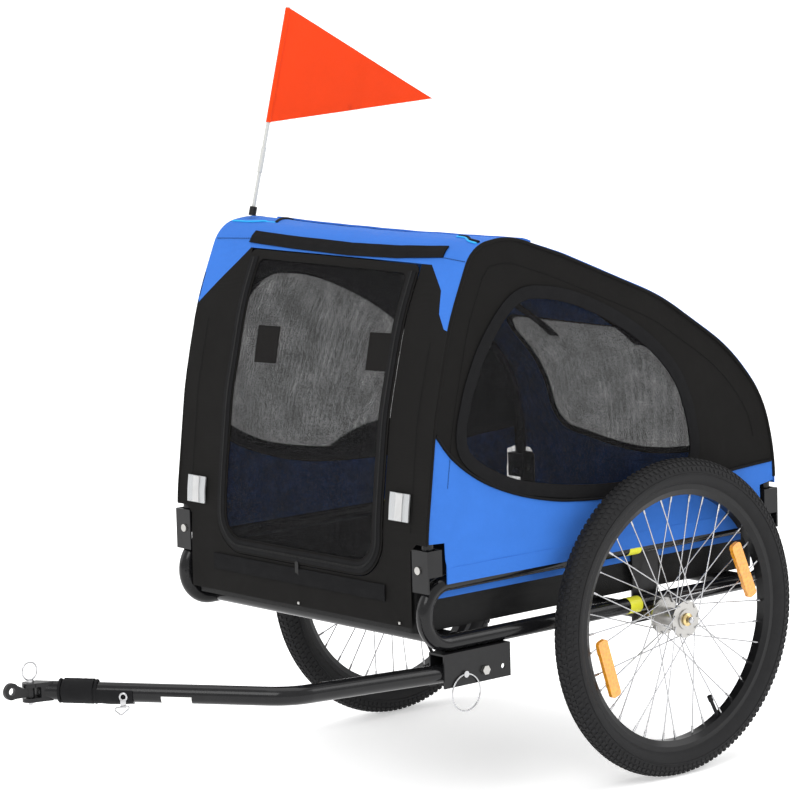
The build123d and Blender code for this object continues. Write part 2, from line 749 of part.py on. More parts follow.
# Drawbar channel under the left rail, with the pivot bolt and the ring pin
with BuildPart() as drawbar_channel:
    with BuildSketch(front_view(DRAWBAR_X, CHANNEL_Y[0], 0)):
        with Locations((0, (CHANNEL_Z[0] + CHANNEL_Z[1]) / 2)):
            Rectangle(2 * CHANNEL_HALF, CHANNEL_Z[1] - CHANNEL_Z[0])
        with Locations((0, (CHANNEL_Z[0] + CHANNEL_Z[1]) / 2 - 3)):
            Rectangle(2 * CHANNEL_GAP, CHANNEL_Z[1] - CHANNEL_Z[0], mode=Mode.SUBTRACT)
    extrude(amount=CHANNEL_Y[0] - CHANNEL_Y[1])
    for hole_y, hole_r in ((PIN_Y, PIN_R + RUNNING), (PIVOT_Y, BOLT_R), (SPARE_Y, BOLT_R)):
        with BuildSketch(side_plane(DRAWBAR_X)):
            with Locations(at(hole_y, PIVOT_Z)):
                Circle(hole_r)
        extrude(amount=CHANNEL_HALF + 1, both=True, mode=Mode.SUBTRACT)
drawbar_channel.part.label = "drawbar_channel"
export_step(drawbar_channel.part, "parts/drawbar_channel.step")

with BuildPart() as pivot_bolt:
    with BuildSketch(side_plane(DRAWBAR_X)):
        with Locations(at(PIVOT_Y, PIVOT_Z)):
            Circle(BOLT_R)
    extrude(amount=CHANNEL_HALF, both=True)
    for _, sign in SIDES:
        with BuildSketch(side_plane(DRAWBAR_X + sign * CHANNEL_HALF)):
            with Locations(at(PIVOT_Y, PIVOT_Z)):
                RegularPolygon(7.5, 6)
        extrude(amount=sign * 5)
pivot_bolt.part.label = "pivot_bolt"
export_step(pivot_bolt.part, "parts/pivot_bolt.step")

RING_R = 28.0
RING_WIRE_R = 1.2
with BuildPart() as ring_pin:
    with BuildSketch(side_plane(DRAWBAR_X - CHANNEL_HALF - 5)):
        with Locations(at(PIN_Y, PIVOT_Z)):
            Circle(PIN_R)
    extrude(amount=2 * CHANNEL_HALF + 5)
    with BuildSketch(side_plane(DRAWBAR_X + CHANNEL_HALF)):
        with Locations(at(PIN_Y, PIVOT_Z)):
            Circle(5)
    extrude(amount=4)
    with Locations(
        Location(space(DRAWBAR_X + CHANNEL_HALF + RING_WIRE_R + 1, PIN_Y, PIVOT_Z - RING_R), (0, 90, 0))
    ):
        Torus(RING_R, RING_WIRE_R)
ring_pin.part.label = "ring_pin"
export_step(ring_pin.part, "parts/ring_pin.step")


# Drawbar, its nose fork, the safety strap, and the hitch that bolts to the bicycle
DRAWBAR_TAIL = (DRAWBAR_X, PIVOT_Y + 17, PIVOT_Z - 0.7)
drawbar_points = [DRAWBAR_TAIL, BEND, NOSE]
with BuildPart() as drawbar_tube:
    with BuildLine():
        FilletPolyline(*[space(*point) for point in drawbar_points], radius=bend_radii(drawbar_points, 70))
    with BuildSketch(Plane(origin=space(*DRAWBAR_TAIL), z_dir=Vector(*BEND) - Vector(*DRAWBAR_TAIL))):
        Circle(DRAWBAR_R)
        Circle(DRAWBAR_R - DRAWBAR_WALL, mode=Mode.SUBTRACT)
    sweep()
    with BuildSketch(side_plane(DRAWBAR_X)):
        with Locations(at(PIVOT_Y, PIVOT_Z)):
            Circle(BOLT_R + RUNNING)
        with Locations(at(PIN_Y, PIVOT_Z)):
            Circle(PIN_R + 0.6)
        side_rectangle((PIN_Y - 3.6, PIVOT_Z), (PIN_Y + 6.5, PIVOT_Z + DRAWBAR_R + 6))
    extrude(amount=DRAWBAR_R + 1, both=True, mode=Mode.SUBTRACT)
drawbar_tube.part.label = "drawbar_tube"
export_step(drawbar_tube.part, "parts/drawbar_tube.step")

NOSE_RUN = (Vector(*NOSE) - Vector(*BEND)).normalized()
FORK_HALF = 14.0
FORK_JAW = 6.0
JAW_GAP = 8.0
with BuildPart() as nose_fork:
    plug_start = Vector(*space(*NOSE)) - NOSE_RUN * 30
    with BuildSketch(Plane(origin=plug_start, z_dir=NOSE_RUN)):
        Circle(DRAWBAR_R - DRAWBAR_WALL)
    extrude(amount=30)
    with BuildSketch(Plane(origin=space(*NOSE), z_dir=NOSE_RUN)):
        Circle(DRAWBAR_R)
    extrude(amount=3)
    with BuildSketch(Plane.XY.offset(HITCH_Z)):
        with BuildLine():
            Polyline(
                (-12, AXLE_Y + HITCH_PIN_Y + 2),
                (12, AXLE_Y + HITCH_PIN_Y + 2),
                (20, AXLE_Y + NOSE[1] + 8),
                (-6, AXLE_Y + NOSE[1] - 2),
                close=True,
            )
        make_face()
        with Locations((0, AXLE_Y + HITCH_PIN_Y)):
            Circle(12)
    extrude(amount=FORK_JAW + JAW_GAP, both=True)
    with BuildSketch(Plane.XY.offset(HITCH_Z)):
        with Locations((0, AXLE_Y + HITCH_PIN_Y - 10)):
            Rectangle(50, 39)
    extrude(amount=JAW_GAP, both=True, mode=Mode.SUBTRACT)
    with BuildSketch(Plane.XY.offset(HITCH_Z)):
        with Locations((0, AXLE_Y + HITCH_PIN_Y)):
            Circle(PIN_R + RUNNING)
    extrude(amount=40, both=True, mode=Mode.SUBTRACT)
    add(drawbar_tube.part, mode=Mode.SUBTRACT)
nose_fork.part.label = "nose_fork"
export_step(nose_fork.part, "parts/nose_fork.step")

STRAP_LENGTH = 62.0
with BuildPart() as safety_strap:
    strap_start = Vector(*space(*NOSE)) - NOSE_RUN * (STRAP_LENGTH + 26)
    with BuildSketch(Plane(origin=strap_start, z_dir=NOSE_RUN)):
        Circle(DRAWBAR_R + 3)
        Circle(DRAWBAR_R, mode=Mode.SUBTRACT)
    extrude(amount=STRAP_LENGTH)
safety_strap.part.label = "safety_strap"
export_step(safety_strap.part, "parts/safety_strap.step")

KNUCKLE_R = 6.5
with BuildPart() as hitch_plate:
    with BuildSketch(side_plane(-EYE_THICK / 2)):
        with Locations(at(EYE_Y, EYE_Z)):
            Circle(EYE_R)
        side_rectangle((HITCH_PIN_Y - 12, HITCH_Z - 6), (HITCH_PIN_Y, HITCH_Z + 7))
        with BuildLine():
            Polyline(
                at(EYE_Y + 2, EYE_Z + EYE_R - 1),
                at(HITCH_PIN_Y - 11, HITCH_Z + 7),
                at(HITCH_PIN_Y - 11, HITCH_Z - 6),
                at(EYE_Y + 2, EYE_Z - EYE_R + 1),
                close=True,
            )
        make_face()
    extrude(amount=EYE_THICK)
    with BuildSketch(Plane.XY.offset(HITCH_Z - JAW_GAP + 0.5)):
        with Locations((0, AXLE_Y + HITCH_PIN_Y)):
            Circle(KNUCKLE_R)
    extrude(amount=2 * JAW_GAP - 1)
    with BuildSketch(Plane.XY.offset(HITCH_Z)):
        with Locations((0, AXLE_Y + HITCH_PIN_Y)):
            Circle(PIN_R + RUNNING)
    extrude(amount=40, both=True, mode=Mode.SUBTRACT)
    with BuildSketch(side_plane(0)):
        with Locations(at(EYE_Y, EYE_Z)):
            Circle(EYE_BORE_R)
    extrude(amount=EYE_THICK, both=True, mode=Mode.SUBTRACT)
hitch_plate.part.label = "hitch_plate"
export_step(hitch_plate.part, "parts/hitch_plate.step")

HITCH_RING_R = 13.0
with BuildPart() as hitch_pin:
    with BuildSketch(Plane.XY.offset(HITCH_Z - JAW_GAP - FORK_JAW - 5)):
        with Locations((0, AXLE_Y + HITCH_PIN_Y)):
            Circle(PIN_R)
    extrude(amount=2 * (JAW_GAP + FORK_JAW) + 5)
    with BuildSketch(Plane.XY.offset(HITCH_Z + JAW_GAP + FORK_JAW)):
        with Locations((0, AXLE_Y + HITCH_PIN_Y)):
            Circle(5.5)
    extrude(amount=4)
    with Locations(
        Location(
            space(0, HITCH_PIN_Y, HITCH_Z + JAW_GAP + FORK_JAW + 4 + HITCH_RING_R),
            (0, 90, 0),
        )
    ):
        Torus(HITCH_RING_R, RING_WIRE_R)
hitch_pin.part.label = "hitch_pin"
export_step(hitch_pin.part, "parts/hitch_pin.step")


# Zipper pull on the door, and the flag
PULL_TOP = DOOR_Z[0] + 4
PULL_SIZE = (8.0, 2.0, 26.0)
front_y = FRONT_FOOT_Y - COVER_OUTER
with BuildPart() as zipper_pull:
    with BuildSketch(front_view(0, front_y - 0.5, PULL_TOP)):
        with Locations((0, -PULL_SIZE[2] / 2)):
            RectangleRounded(PULL_SIZE[0], PULL_SIZE[2], 3)
        with Locations((0, -PULL_SIZE[2] + 6)):
            Circle(2, mode=Mode.SUBTRACT)
    extrude(amount=PULL_SIZE[1])
zipper_pull.part.label = "zipper_pull"
export_step(zipper_pull.part, "parts/zipper_pull.step")

pole_plane = Plane(
    origin=space(FLAG_X, *FLAG_BASE),
    x_dir=(1, 0, 0),
    z_dir=(0, sin(radians(FLAG_LEAN)), cos(radians(FLAG_LEAN))),
)
with BuildPart() as flag_socket:
    with BuildSketch(pole_plane):
        Circle(6)
        Circle(POLE_R + RUNNING, mode=Mode.SUBTRACT)
    extrude(amount=14)
flag_socket.part.label = "flag_socket"
export_step(flag_socket.part, "parts/flag_socket.step")

with BuildPart() as flag_pole:
    with BuildSketch(pole_plane):
        Circle(POLE_R)
    extrude(amount=POLE_LENGTH)
    with BuildSketch(pole_plane.offset(70)):
        Circle(POLE_R + 1)
    extrude(amount=40)
flag_pole.part.label = "flag_pole"
export_step(flag_pole.part, "parts/flag_pole.step")

CLOTH = 1.0
with BuildPart() as flag_cloth:
    with BuildSketch(pole_plane.offset(FLAG_FROM)):
        Circle(POLE_R + 0.8)
        Circle(POLE_R, mode=Mode.SUBTRACT)
    extrude(amount=FLAG_HOIST)
    with BuildSketch(Plane.YZ.offset(FLAG_X - CLOTH / 2)):
        lean_y, lean_z = sin(radians(FLAG_LEAN)), cos(radians(FLAG_LEAN))
        near = POLE_R + 0.4
        hoist_low = (FLAG_BASE[0] + lean_y * FLAG_FROM + near, FLAG_BASE[1] + lean_z * FLAG_FROM)
        hoist_high = (
            FLAG_BASE[0] + lean_y * (FLAG_FROM + FLAG_HOIST) + near,
            FLAG_BASE[1] + lean_z * (FLAG_FROM + FLAG_HOIST),
        )
        tip = (hoist_low[0] + FLAG_REACH + 30, (hoist_low[1] + hoist_high[1]) / 2 - 74)
        with BuildLine():
            Polyline(at(*hoist_low), at(*hoist_high), at(*tip), close=True)
        make_face()
    extrude(amount=CLOTH)
flag_cloth.part.label = "flag_cloth"
export_step(flag_cloth.part, "parts/flag_cloth.step")
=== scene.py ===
"""Looks of a two-wheeled bicycle trailer: fabric cabin, spoked wheels, drawbar and flag.

Every size is in metres, +Z up from the ground, -Y the towing direction and +X the trailer's left.
"""

import logging
from dataclasses import dataclass
from enum import Enum
from math import cos, hypot, pi, radians, sin, tan
from typing import Any, Callable, ClassVar, Iterable, Sequence

import bmesh
import bpy
from mathutils import Matrix, Vector, geometry, noise

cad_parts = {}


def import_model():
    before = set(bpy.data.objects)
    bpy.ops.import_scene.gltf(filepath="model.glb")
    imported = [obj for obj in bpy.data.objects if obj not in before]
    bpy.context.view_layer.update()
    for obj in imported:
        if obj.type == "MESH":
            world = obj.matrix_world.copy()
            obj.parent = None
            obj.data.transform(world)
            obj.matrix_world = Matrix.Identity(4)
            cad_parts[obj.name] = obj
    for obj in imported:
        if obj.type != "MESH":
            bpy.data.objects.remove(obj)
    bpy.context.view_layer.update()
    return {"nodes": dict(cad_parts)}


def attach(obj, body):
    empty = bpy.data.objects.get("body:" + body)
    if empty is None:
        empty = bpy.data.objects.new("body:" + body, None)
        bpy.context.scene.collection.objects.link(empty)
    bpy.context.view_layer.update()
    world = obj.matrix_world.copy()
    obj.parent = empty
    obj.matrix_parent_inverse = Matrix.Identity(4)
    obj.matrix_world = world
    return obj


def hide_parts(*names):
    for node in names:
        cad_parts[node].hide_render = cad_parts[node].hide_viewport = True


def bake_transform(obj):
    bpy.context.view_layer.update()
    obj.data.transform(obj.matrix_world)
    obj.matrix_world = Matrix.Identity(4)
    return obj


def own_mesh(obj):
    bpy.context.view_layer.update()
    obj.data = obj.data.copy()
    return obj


log = logging.getLogger("trailer")

Point2 = tuple[float, float]
Colour = tuple[float, float, float]
CLOTH_GAUGE = 0.0012
NET_GAUGE = 0.0008
WEBBING_GAUGE = 0.0016
BINDING_GAUGE = 0.0030
TAPE_STEP = 0.008


class Side(Enum):
    """The two sides of the trailer, with the sign of their X."""

    LEFT = 1
    RIGHT = -1

    @property
    def label(self) -> str:
        """The side's name as the bodies and nodes spell it."""
        return self.name.lower()


# ---------------------------------------------------------------- shader maths


class Socket:
    """An output socket of a material that adds its own maths nodes."""

    def __init__(self, tree: bpy.types.NodeTree, output: bpy.types.NodeSocket) -> None:
        """Wrap an output socket of a node tree."""
        self.tree = tree
        self.output = output

    def _maths(self, operation: str, *values: Any) -> "Socket":
        """Add a Math node on the values, each a number or a Socket."""
        node = self.tree.nodes.new("ShaderNodeMath")
        node.operation = operation
        for slot, value in zip(node.inputs, values):
            if isinstance(value, Socket):
                self.tree.links.new(value.output, slot)
            else:
                slot.default_value = value
        return Socket(self.tree, node.outputs[0])

    def __add__(self, other: Any) -> "Socket":
        """Sum."""
        return self._maths("ADD", self, other)

    def __sub__(self, other: Any) -> "Socket":
        """Difference."""
        return self._maths("SUBTRACT", self, other)

    def __rsub__(self, other: Any) -> "Socket":
        """Difference from a number."""
        return self._maths("SUBTRACT", other, self)

    def __mul__(self, other: Any) -> "Socket":
        """Product."""
        return self._maths("MULTIPLY", self, other)

    def __gt__(self, other: Any) -> "Socket":
        """One where this is greater, zero elsewhere."""
        return self._maths("GREATER_THAN", self, other)

    __radd__ = __add__
    __rmul__ = __mul__

    def sine(self) -> "Socket":
        """Sine of the value in radians."""
        return self._maths("SINE", self)

    def largest(self, other: Any) -> "Socket":
        """The larger of the two values."""
        return self._maths("MAXIMUM", self, other)

    def absolute(self) -> "Socket":
        """Value without its sign."""
        return self._maths("ABSOLUTE", self)


def shade(colour: Colour, gain: float, lift: float = 0.0) -> Colour:
    """A colour made brighter or darker, held at one."""
    return tuple(min(1.0, c * gain + lift) for c in colour)


class Shader:
    """A material with one Principled shader, and short ways to add nodes to it."""

    def __init__(self, name: str) -> None:
        """Start a material of that name with nothing linked."""
        self.material = bpy.data.materials.new(name)
        self.material.use_nodes = True
        self.tree = self.material.node_tree
        self.surface = self.tree.nodes["Principled BSDF"]
        coordinates = self.tree.nodes.new("ShaderNodeTexCoord")
        self.place = Socket(self.tree, coordinates.outputs["Object"])

    def node(self, kind: str, output: int | str = 0, settings: dict[str, Any] | None = None,
             **values: Any) -> Socket:
        """Add a node.

        Args:
            kind: The node's type name without the ShaderNode prefix.
            output: Which output to return.
            settings: Attributes set before the sockets.
            values: Socket values or links, with spaces in names written as underscores.

        Returns:
            The chosen output.
        """
        node = self.tree.nodes.new("ShaderNode" + kind)
        for key, value in (settings or {}).items():
            setattr(node, key, value)
        for key, value in values.items():
            slot = node.inputs[key.replace("_", " ")]
            if isinstance(value, Socket):
                self.tree.links.new(value.output, slot)
            else:
                slot.default_value = value
        return Socket(self.tree, node.outputs[output])

    def axes(self) -> tuple[Socket, Socket, Socket]:
        """The three object coordinates as separate values."""
        first = self.node("SeparateXYZ", "X", Vector=self.place)
        split = first.output.node
        return first, Socket(self.tree, split.outputs["Y"]), Socket(self.tree, split.outputs["Z"])

    def cloud(self, scale: float, detail: float = 3.0, rough: float = 0.5) -> Socket:
        """Soft noise between nought and one."""
        return self.node("TexNoise", "Fac", Vector=self.place, Scale=scale, Detail=detail,
                         Roughness=rough)

    def tint(self, factor: Socket, low: Colour, high: Colour) -> Socket:
        """Colour between two ends by a factor."""
        node = self.tree.nodes.new("ShaderNodeMix")
        node.data_type = "RGBA"
        self.tree.links.new(factor.output, node.inputs["Factor"])
        node.inputs[6].default_value = (*low, 1.0)
        node.inputs[7].default_value = (*high, 1.0)
        return Socket(self.tree, node.outputs[2])

    def feed(self, **links: Socket) -> None:
        """Link values into the surface's sockets."""
        for key, value in links.items():
            self.tree.links.new(value.output, self.surface.inputs[key.replace("_", " ")])

    def fix(self, **values: Any) -> None:
        """Set the surface's sockets that are the same all over."""
        for key, value in values.items():
            self.surface.inputs[key.replace("_", " ")].default_value = value

    def bump(self, height: Socket, depth: float, strength: float = 1.0) -> None:
        """Raise the surface by a height of that depth in metres."""
        self.feed(Normal=self.node("Bump", "Normal", Height=height, Distance=depth,
                                   Strength=strength))

    def weave(self, pitch: float) -> Socket:
        """Plain weave on object coordinates, as a height between nought and about one."""
        x, y, z = self.axes()
        rate = 2 * pi / pitch
        warp = (x * rate).sine() * (y * rate).sine()
        weft = (z * rate).sine() * ((x + y) * rate).sine()
        return (warp + weft) * 0.5 + 0.5


# ---------------------------------------------------------------- finishes


@dataclass(frozen=True)
class WovenCloth:
    """Woven polyester with a slight sheen."""

    colour: Colour
    pitch: float = 0.0012
    roughness: float = 0.62
    coat: float = 0.0
    depth: float = 0.00025
    lift: float = 1.35
    sheen: float = 0.01

    def material(self, name: str) -> bpy.types.Material:
        """Make the material."""
        shader = Shader(name)
        weave = shader.weave(self.pitch)
        cloud = shader.cloud(9.0)
        mottle = shader.cloud(160.0, 4.0, 0.7)
        blend = cloud * 0.45 + mottle * 0.3 + weave * 0.25
        low = shade(self.colour, 0.82)
        high = shade(self.colour, self.lift)
        shader.feed(Base_Color=shader.tint(blend, low, high),
                    Roughness=shader.cloud(30.0) * 0.12 + (self.roughness - 0.06))
        shader.fix(Sheen_Weight=self.sheen, Sheen_Roughness=0.5, Coat_Weight=self.coat,
                   Coat_Roughness=0.25, Specular_IOR_Level=0.07)
        shader.bump(weave * 0.6 + mottle * 0.4, self.depth)
        return shader.material


@dataclass(frozen=True)
class OpenMesh:
    """See-through netting: dark threads with open holes."""

    colour: Colour
    pitch: float = 0.0024
    cover: float = 0.50

    def material(self, name: str) -> bpy.types.Material:
        """Make the material."""
        shader = Shader(name)
        x, y, z = shader.axes()
        rate = 2 * pi / self.pitch
        across = ((x + y) * rate).sine().absolute()
        down = (z * rate + (x + y) * rate * 0.25).sine().absolute()
        thread = (1 - across).largest(1 - down)
        speck = shader.cloud(260.0, 2.0, 0.8)
        cover = (thread > 0.55) * 0.34 + speck * 0.5 + shader.cloud(26.0) * 0.25 + (self.cover - 0.54)
        tone = shader.cloud(220.0, 2.0)
        high = shade(self.colour, 2.2)
        shader.feed(Alpha=cover, Base_Color=shader.tint(tone, self.colour, high))
        shader.fix(Roughness=0.6, Specular_IOR_Level=0.06)
        shader.bump(thread, 0.0003)
        return shader.material


@dataclass(frozen=True)
class PowderCoat:
    """Paint baked on steel, with a fine orange peel and small scuffs."""

    colour: Colour
    roughness: float = 0.22
    metallic: float = 0.0

    def material(self, name: str) -> bpy.types.Material:
        """Make the material."""
        shader = Shader(name)
        peel = shader.cloud(420.0, 2.0)
        scuff = shader.cloud(38.0, 6.0, 0.75)
        worn = shade(self.colour, 2.0, 0.006)
        shader.feed(Base_Color=shader.tint(scuff * scuff, self.colour, worn),
                    Roughness=scuff * 0.22 + (self.roughness - 0.08))
        shader.fix(Metallic=self.metallic, Coat_Weight=0.22, Coat_Roughness=0.12,
                   Specular_IOR_Level=0.14)
        shader.bump(peel, 0.00006)
        return shader.material


@dataclass(frozen=True)
class BrightMetal:
    """Plated or polished steel with fine brush lines."""

    colour: Colour
    roughness: float = 0.25

    def material(self, name: str) -> bpy.types.Material:
        """Make the material."""
        shader = Shader(name)
        stain = shader.cloud(45.0, 5.0, 0.6)
        grain = shader.cloud(900.0, 2.0)
        dull = shade(self.colour, 0.72)
        shader.feed(Base_Color=shader.tint(stain, dull, self.colour),
                    Roughness=stain * 0.2 + grain * 0.1 + (self.roughness - 0.12))
        shader.fix(Metallic=1.0)
        shader.bump(grain, 0.00003)
        return shader.material


@dataclass(frozen=True)
class Rubber:
    """Matt tyre rubber with a dusty bloom."""

    colour: Colour = (0.010, 0.010, 0.0105)

    def material(self, name: str) -> bpy.types.Material:
        """Make the material."""
        shader = Shader(name)
        dust = shader.cloud(60.0, 6.0, 0.7)
        bloom = shade(self.colour, 1.9, 0.002)
        shader.feed(Base_Color=shader.tint(dust, self.colour, bloom),
                    Roughness=dust * 0.25 + 0.5)
        shader.fix(Specular_IOR_Level=0.12)
        shader.bump(shader.cloud(700.0, 3.0), 0.00012)
        return shader.material


@dataclass(frozen=True)
class PrismLens:
    """Moulded reflector with small prisms under a clear face."""

    colour: Colour
    cell: float = 0.0045

    def material(self, name: str) -> bpy.types.Material:
        """Make the material."""
        shader = Shader(name)
        cells = shader.node("TexVoronoi", "Distance", Vector=shader.place,
                            Scale=1.0 / self.cell)
        low = shade(self.colour, 0.62)
        shader.feed(Base_Color=shader.tint(cells, low, self.colour),
                    Roughness=cells * 0.15 + 0.08)
        shader.fix(Coat_Weight=1.0, Coat_Roughness=0.05)
        shader.bump(cells, 0.0006)
        return shader.material


@dataclass(frozen=True)
class Moulded:
    """Moulded plastic or film, with a light grain."""

    colour: Colour
    roughness: float = 0.45
    grain: float = 0.00008

    def material(self, name: str) -> bpy.types.Material:
        """Make the material."""
        shader = Shader(name)
        spark = shader.cloud(380.0, 3.0)
        low = shade(self.colour, 0.88)
        shader.feed(Base_Color=shader.tint(shader.cloud(25.0, 4.0), low, self.colour),
                    Roughness=spark * 0.15 + (self.roughness - 0.07))
        shader.fix(Specular_IOR_Level=0.2)
        shader.bump(spark, self.grain)
        return shader.material


@dataclass(frozen=True)
class RibbedTape:
    """Webbing or binding with ribs across its run."""

    colour: Colour
    pitch: float = 0.0022

    def material(self, name: str) -> bpy.types.Material:
        """Make the material."""
        shader = Shader(name)
        x, y, z = shader.axes()
        rate = 2 * pi / self.pitch
        ribs = ((x + y + z) * rate).sine() * 0.5 + 0.5
        high = shade(self.colour, 1.9, 0.004)
        shader.feed(Base_Color=shader.tint(ribs * 0.5 + shader.cloud(90.0) * 0.5,
                                           self.colour, high),
                    Roughness=shader.cloud(50.0) * 0.15 + 0.6)
        shader.fix(Specular_IOR_Level=0.08)
        shader.bump(ribs, 0.0004)
        return shader.material


@dataclass(frozen=True)
class BeadedReflector:
    """Silver retro-reflective tape with a diamond emboss."""

    colour: Colour = (0.50, 0.51, 0.52)

    def material(self, name: str) -> bpy.types.Material:
        """Make the material."""
        shader = Shader(name)
        x, y, z = shader.axes()
        rate = 2 * pi / 0.009
        grid = ((x + z) * rate).sine().absolute() * ((x - z) * rate).sine().absolute()
        shader.feed(Base_Color=shader.tint(grid, shade(self.colour, 0.7), self.colour),
                    Roughness=grid * 0.2 + 0.22)
        shader.fix(Metallic=0.65, Coat_Weight=0.6)
        shader.bump(grid, 0.0004)
        return shader.material


class Finishes:
    """All the trailer's materials, made once and shared."""

    RECIPES: dict[str, Any] = {
        "black_tube": PowderCoat((0.004, 0.004, 0.0045), 0.16),
        "black_plate": PowderCoat((0.005, 0.005, 0.0055), 0.32),
        "black_rim": PowderCoat((0.005, 0.005, 0.0055), 0.30, 0.3),
        "zinc_steel": BrightMetal((0.50, 0.49, 0.47), 0.30),
        "chrome_steel": BrightMetal((0.52, 0.52, 0.53), 0.20),
        "brass": BrightMetal((0.75, 0.58, 0.28), 0.28),
        "tyre_rubber": Rubber(),
        "amber_lens": PrismLens((0.90, 0.36, 0.02)),
        "yellow_band": Moulded((0.80, 0.78, 0.05), 0.25),
        "white_label": Moulded((0.82, 0.82, 0.80), 0.35),
        "black_fabric": WovenCloth((0.0068, 0.0064, 0.0061), roughness=0.7, sheen=0.0),
        "coated_fabric": WovenCloth((0.005, 0.005, 0.0052), roughness=0.36, coat=0.12),
        "blue_fabric": WovenCloth((0.036, 0.150, 0.530), roughness=0.62, lift=1.18),
        "blue_lining": WovenCloth((0.018, 0.07, 0.26), roughness=0.6),
        "cyan_piping": WovenCloth((0.03, 0.36, 0.72), roughness=0.5),
        "black_mesh": OpenMesh((0.006, 0.006, 0.0063)),
        "webbing": RibbedTape((0.006, 0.006, 0.0065)),
        "binding": RibbedTape((0.004, 0.004, 0.0045), 0.0016),
        "grey_webbing": RibbedTape((0.36, 0.36, 0.36)),
        "loop_tape": RibbedTape((0.0025, 0.0025, 0.003), 0.0011),
        "flag_fabric": WovenCloth((0.78, 0.050, 0.006), roughness=0.5, lift=1.1, sheen=0.0),
        "fibreglass": Moulded((0.50, 0.50, 0.48), 0.25),
        "moulded_black": Moulded((0.008, 0.008, 0.008), 0.4),
        "floor_panel": Moulded((0.008, 0.008, 0.009), 0.6, 0.0003),
        "silver_tape": BeadedReflector(),
        "thread": Moulded((0.002, 0.002, 0.002), 0.8),
    }

    def __init__(self) -> None:
        """Start with nothing made."""
        self.made: dict[str, bpy.types.Material] = {}

    def get(self, name: str) -> bpy.types.Material:
        """The material of that name, made on first use."""
        if name not in self.made:
            self.made[name] = self.RECIPES[name].material(name)
        return self.made[name]

    def wear(self, obj: bpy.types.Object, name: str, slot: str | None = None) -> bpy.types.Object:
        """Give a piece one finish."""
        obj.data.materials.clear()
        obj.data.materials.append(self.get(name))
        slot or name
        return obj


# ---------------------------------------------------------------- mesh tools


def clear_selection() -> None:
    """Deselect everything, so that an operator acts on one piece only."""
    for obj in bpy.context.selected_objects:
        obj.select_set(False)


def focus(obj: bpy.types.Object) -> None:
    """Make one object the only selected and active one."""
    clear_selection()
    obj.select_set(True)
    bpy.context.view_layer.objects.active = obj


def settle(obj: bpy.types.Object) -> bpy.types.Object:
    """Apply the object's place, turn and size to its mesh."""
    focus(obj)
    bpy.ops.object.transform_apply(location=True, rotation=True, scale=True)
    return obj


def smooth(obj: bpy.types.Object, angle: float = 40.0) -> bpy.types.Object:
    """Shade a piece smooth across edges flatter than the angle in degrees."""
    focus(obj)
    bpy.ops.object.shade_smooth_by_angle(angle=radians(angle))
    return obj


def modify(obj: bpy.types.Object, kind: str, **settings: Any) -> bpy.types.Object:
    """Add a modifier with these settings and apply it."""
    focus(obj)
    modifier = obj.modifiers.new(kind.title(), kind)
    for key, value in settings.items():
        setattr(modifier, key, value)
    bpy.ops.object.modifier_apply(modifier=modifier.name)
    return obj


def mesh_piece(name: str, points: Sequence[Any], faces: Sequence[Sequence[int]]) -> bpy.types.Object:
    """Make a mesh object from points and faces."""
    mesh = bpy.data.meshes.new(name)
    mesh.from_pydata([tuple(p) for p in points], [], [tuple(f) for f in faces])
    mesh.update()
    obj = bpy.data.objects.new(name, mesh)
    bpy.context.scene.collection.objects.link(obj)
    return obj


def turn_outwards(obj: bpy.types.Object, merge: float = 0.0, drop_caps: bool = False) -> bpy.types.Object:
    """Point a closed piece's faces outwards.

    Args:
        obj: The piece.
        merge: Distance under which points are joined first, or nought to join none.
        drop_caps: Whether faces of more than four corners are taken out first.

    Returns:
        The piece.
    """
    repair = bmesh.new()
    repair.from_mesh(obj.data)
    if merge:
        bmesh.ops.remove_doubles(repair, verts=repair.verts, dist=merge)
    if drop_caps:
        bmesh.ops.delete(repair, geom=[f for f in repair.faces if len(f.verts) > 4], context="FACES_ONLY")
    bmesh.ops.recalc_face_normals(repair, faces=repair.faces)
    repair.to_mesh(obj.data)
    repair.free()
    return obj


def grid_faces(rows: int, columns: int) -> list[tuple[int, ...]]:
    """Faces of a grid whose points run row by row, with so many steps each way."""
    return [(a, a + 1, a + columns + 2, a + columns + 1)
            for row in range(rows) for a in range(row * (columns + 1), row * (columns + 1) + columns)]


def block_faces(start: int) -> list[tuple[int, ...]]:
    """Faces of a small block on eight points, its foot's four and then its top's four."""
    sides = [(a, (a + 1) % 4, 4 + (a + 1) % 4, 4 + a) for a in range(4)]
    return [tuple(start + k for k in face) for face in ((3, 2, 1, 0), (4, 5, 6, 7), *sides)]


BLOCK_CORNERS = ((-1, -1), (1, -1), (1, 1), (-1, 1))


def tube(name: str, points: Sequence[Any], radius: float, closed: bool = False,
         resolution: int = 3) -> bpy.types.Object:
    """Make a round tube along points.

    Args:
        name: The piece's name.
        points: The tube's centre line.
        radius: Its outer radius.
        closed: Whether the end meets the start.
        resolution: Bevel resolution of the round section.

    Returns:
        The tube as a mesh.
    """
    curve = bpy.data.curves.new(name, "CURVE")
    curve.dimensions = "3D"
    curve.bevel_depth = radius
    curve.bevel_resolution = resolution
    curve.use_fill_caps = not closed
    spline = curve.splines.new("POLY")
    spline.points.add(len(points) - 1)
    for target, point in zip(spline.points, points):
        target.co = (*point, 1.0)
    spline.use_cyclic_u = closed
    obj = bpy.data.objects.new(name, curve)
    bpy.context.scene.collection.objects.link(obj)
    focus(obj)
    bpy.ops.object.convert(target="MESH")
    return smooth(bpy.context.view_layer.objects.active, 60)


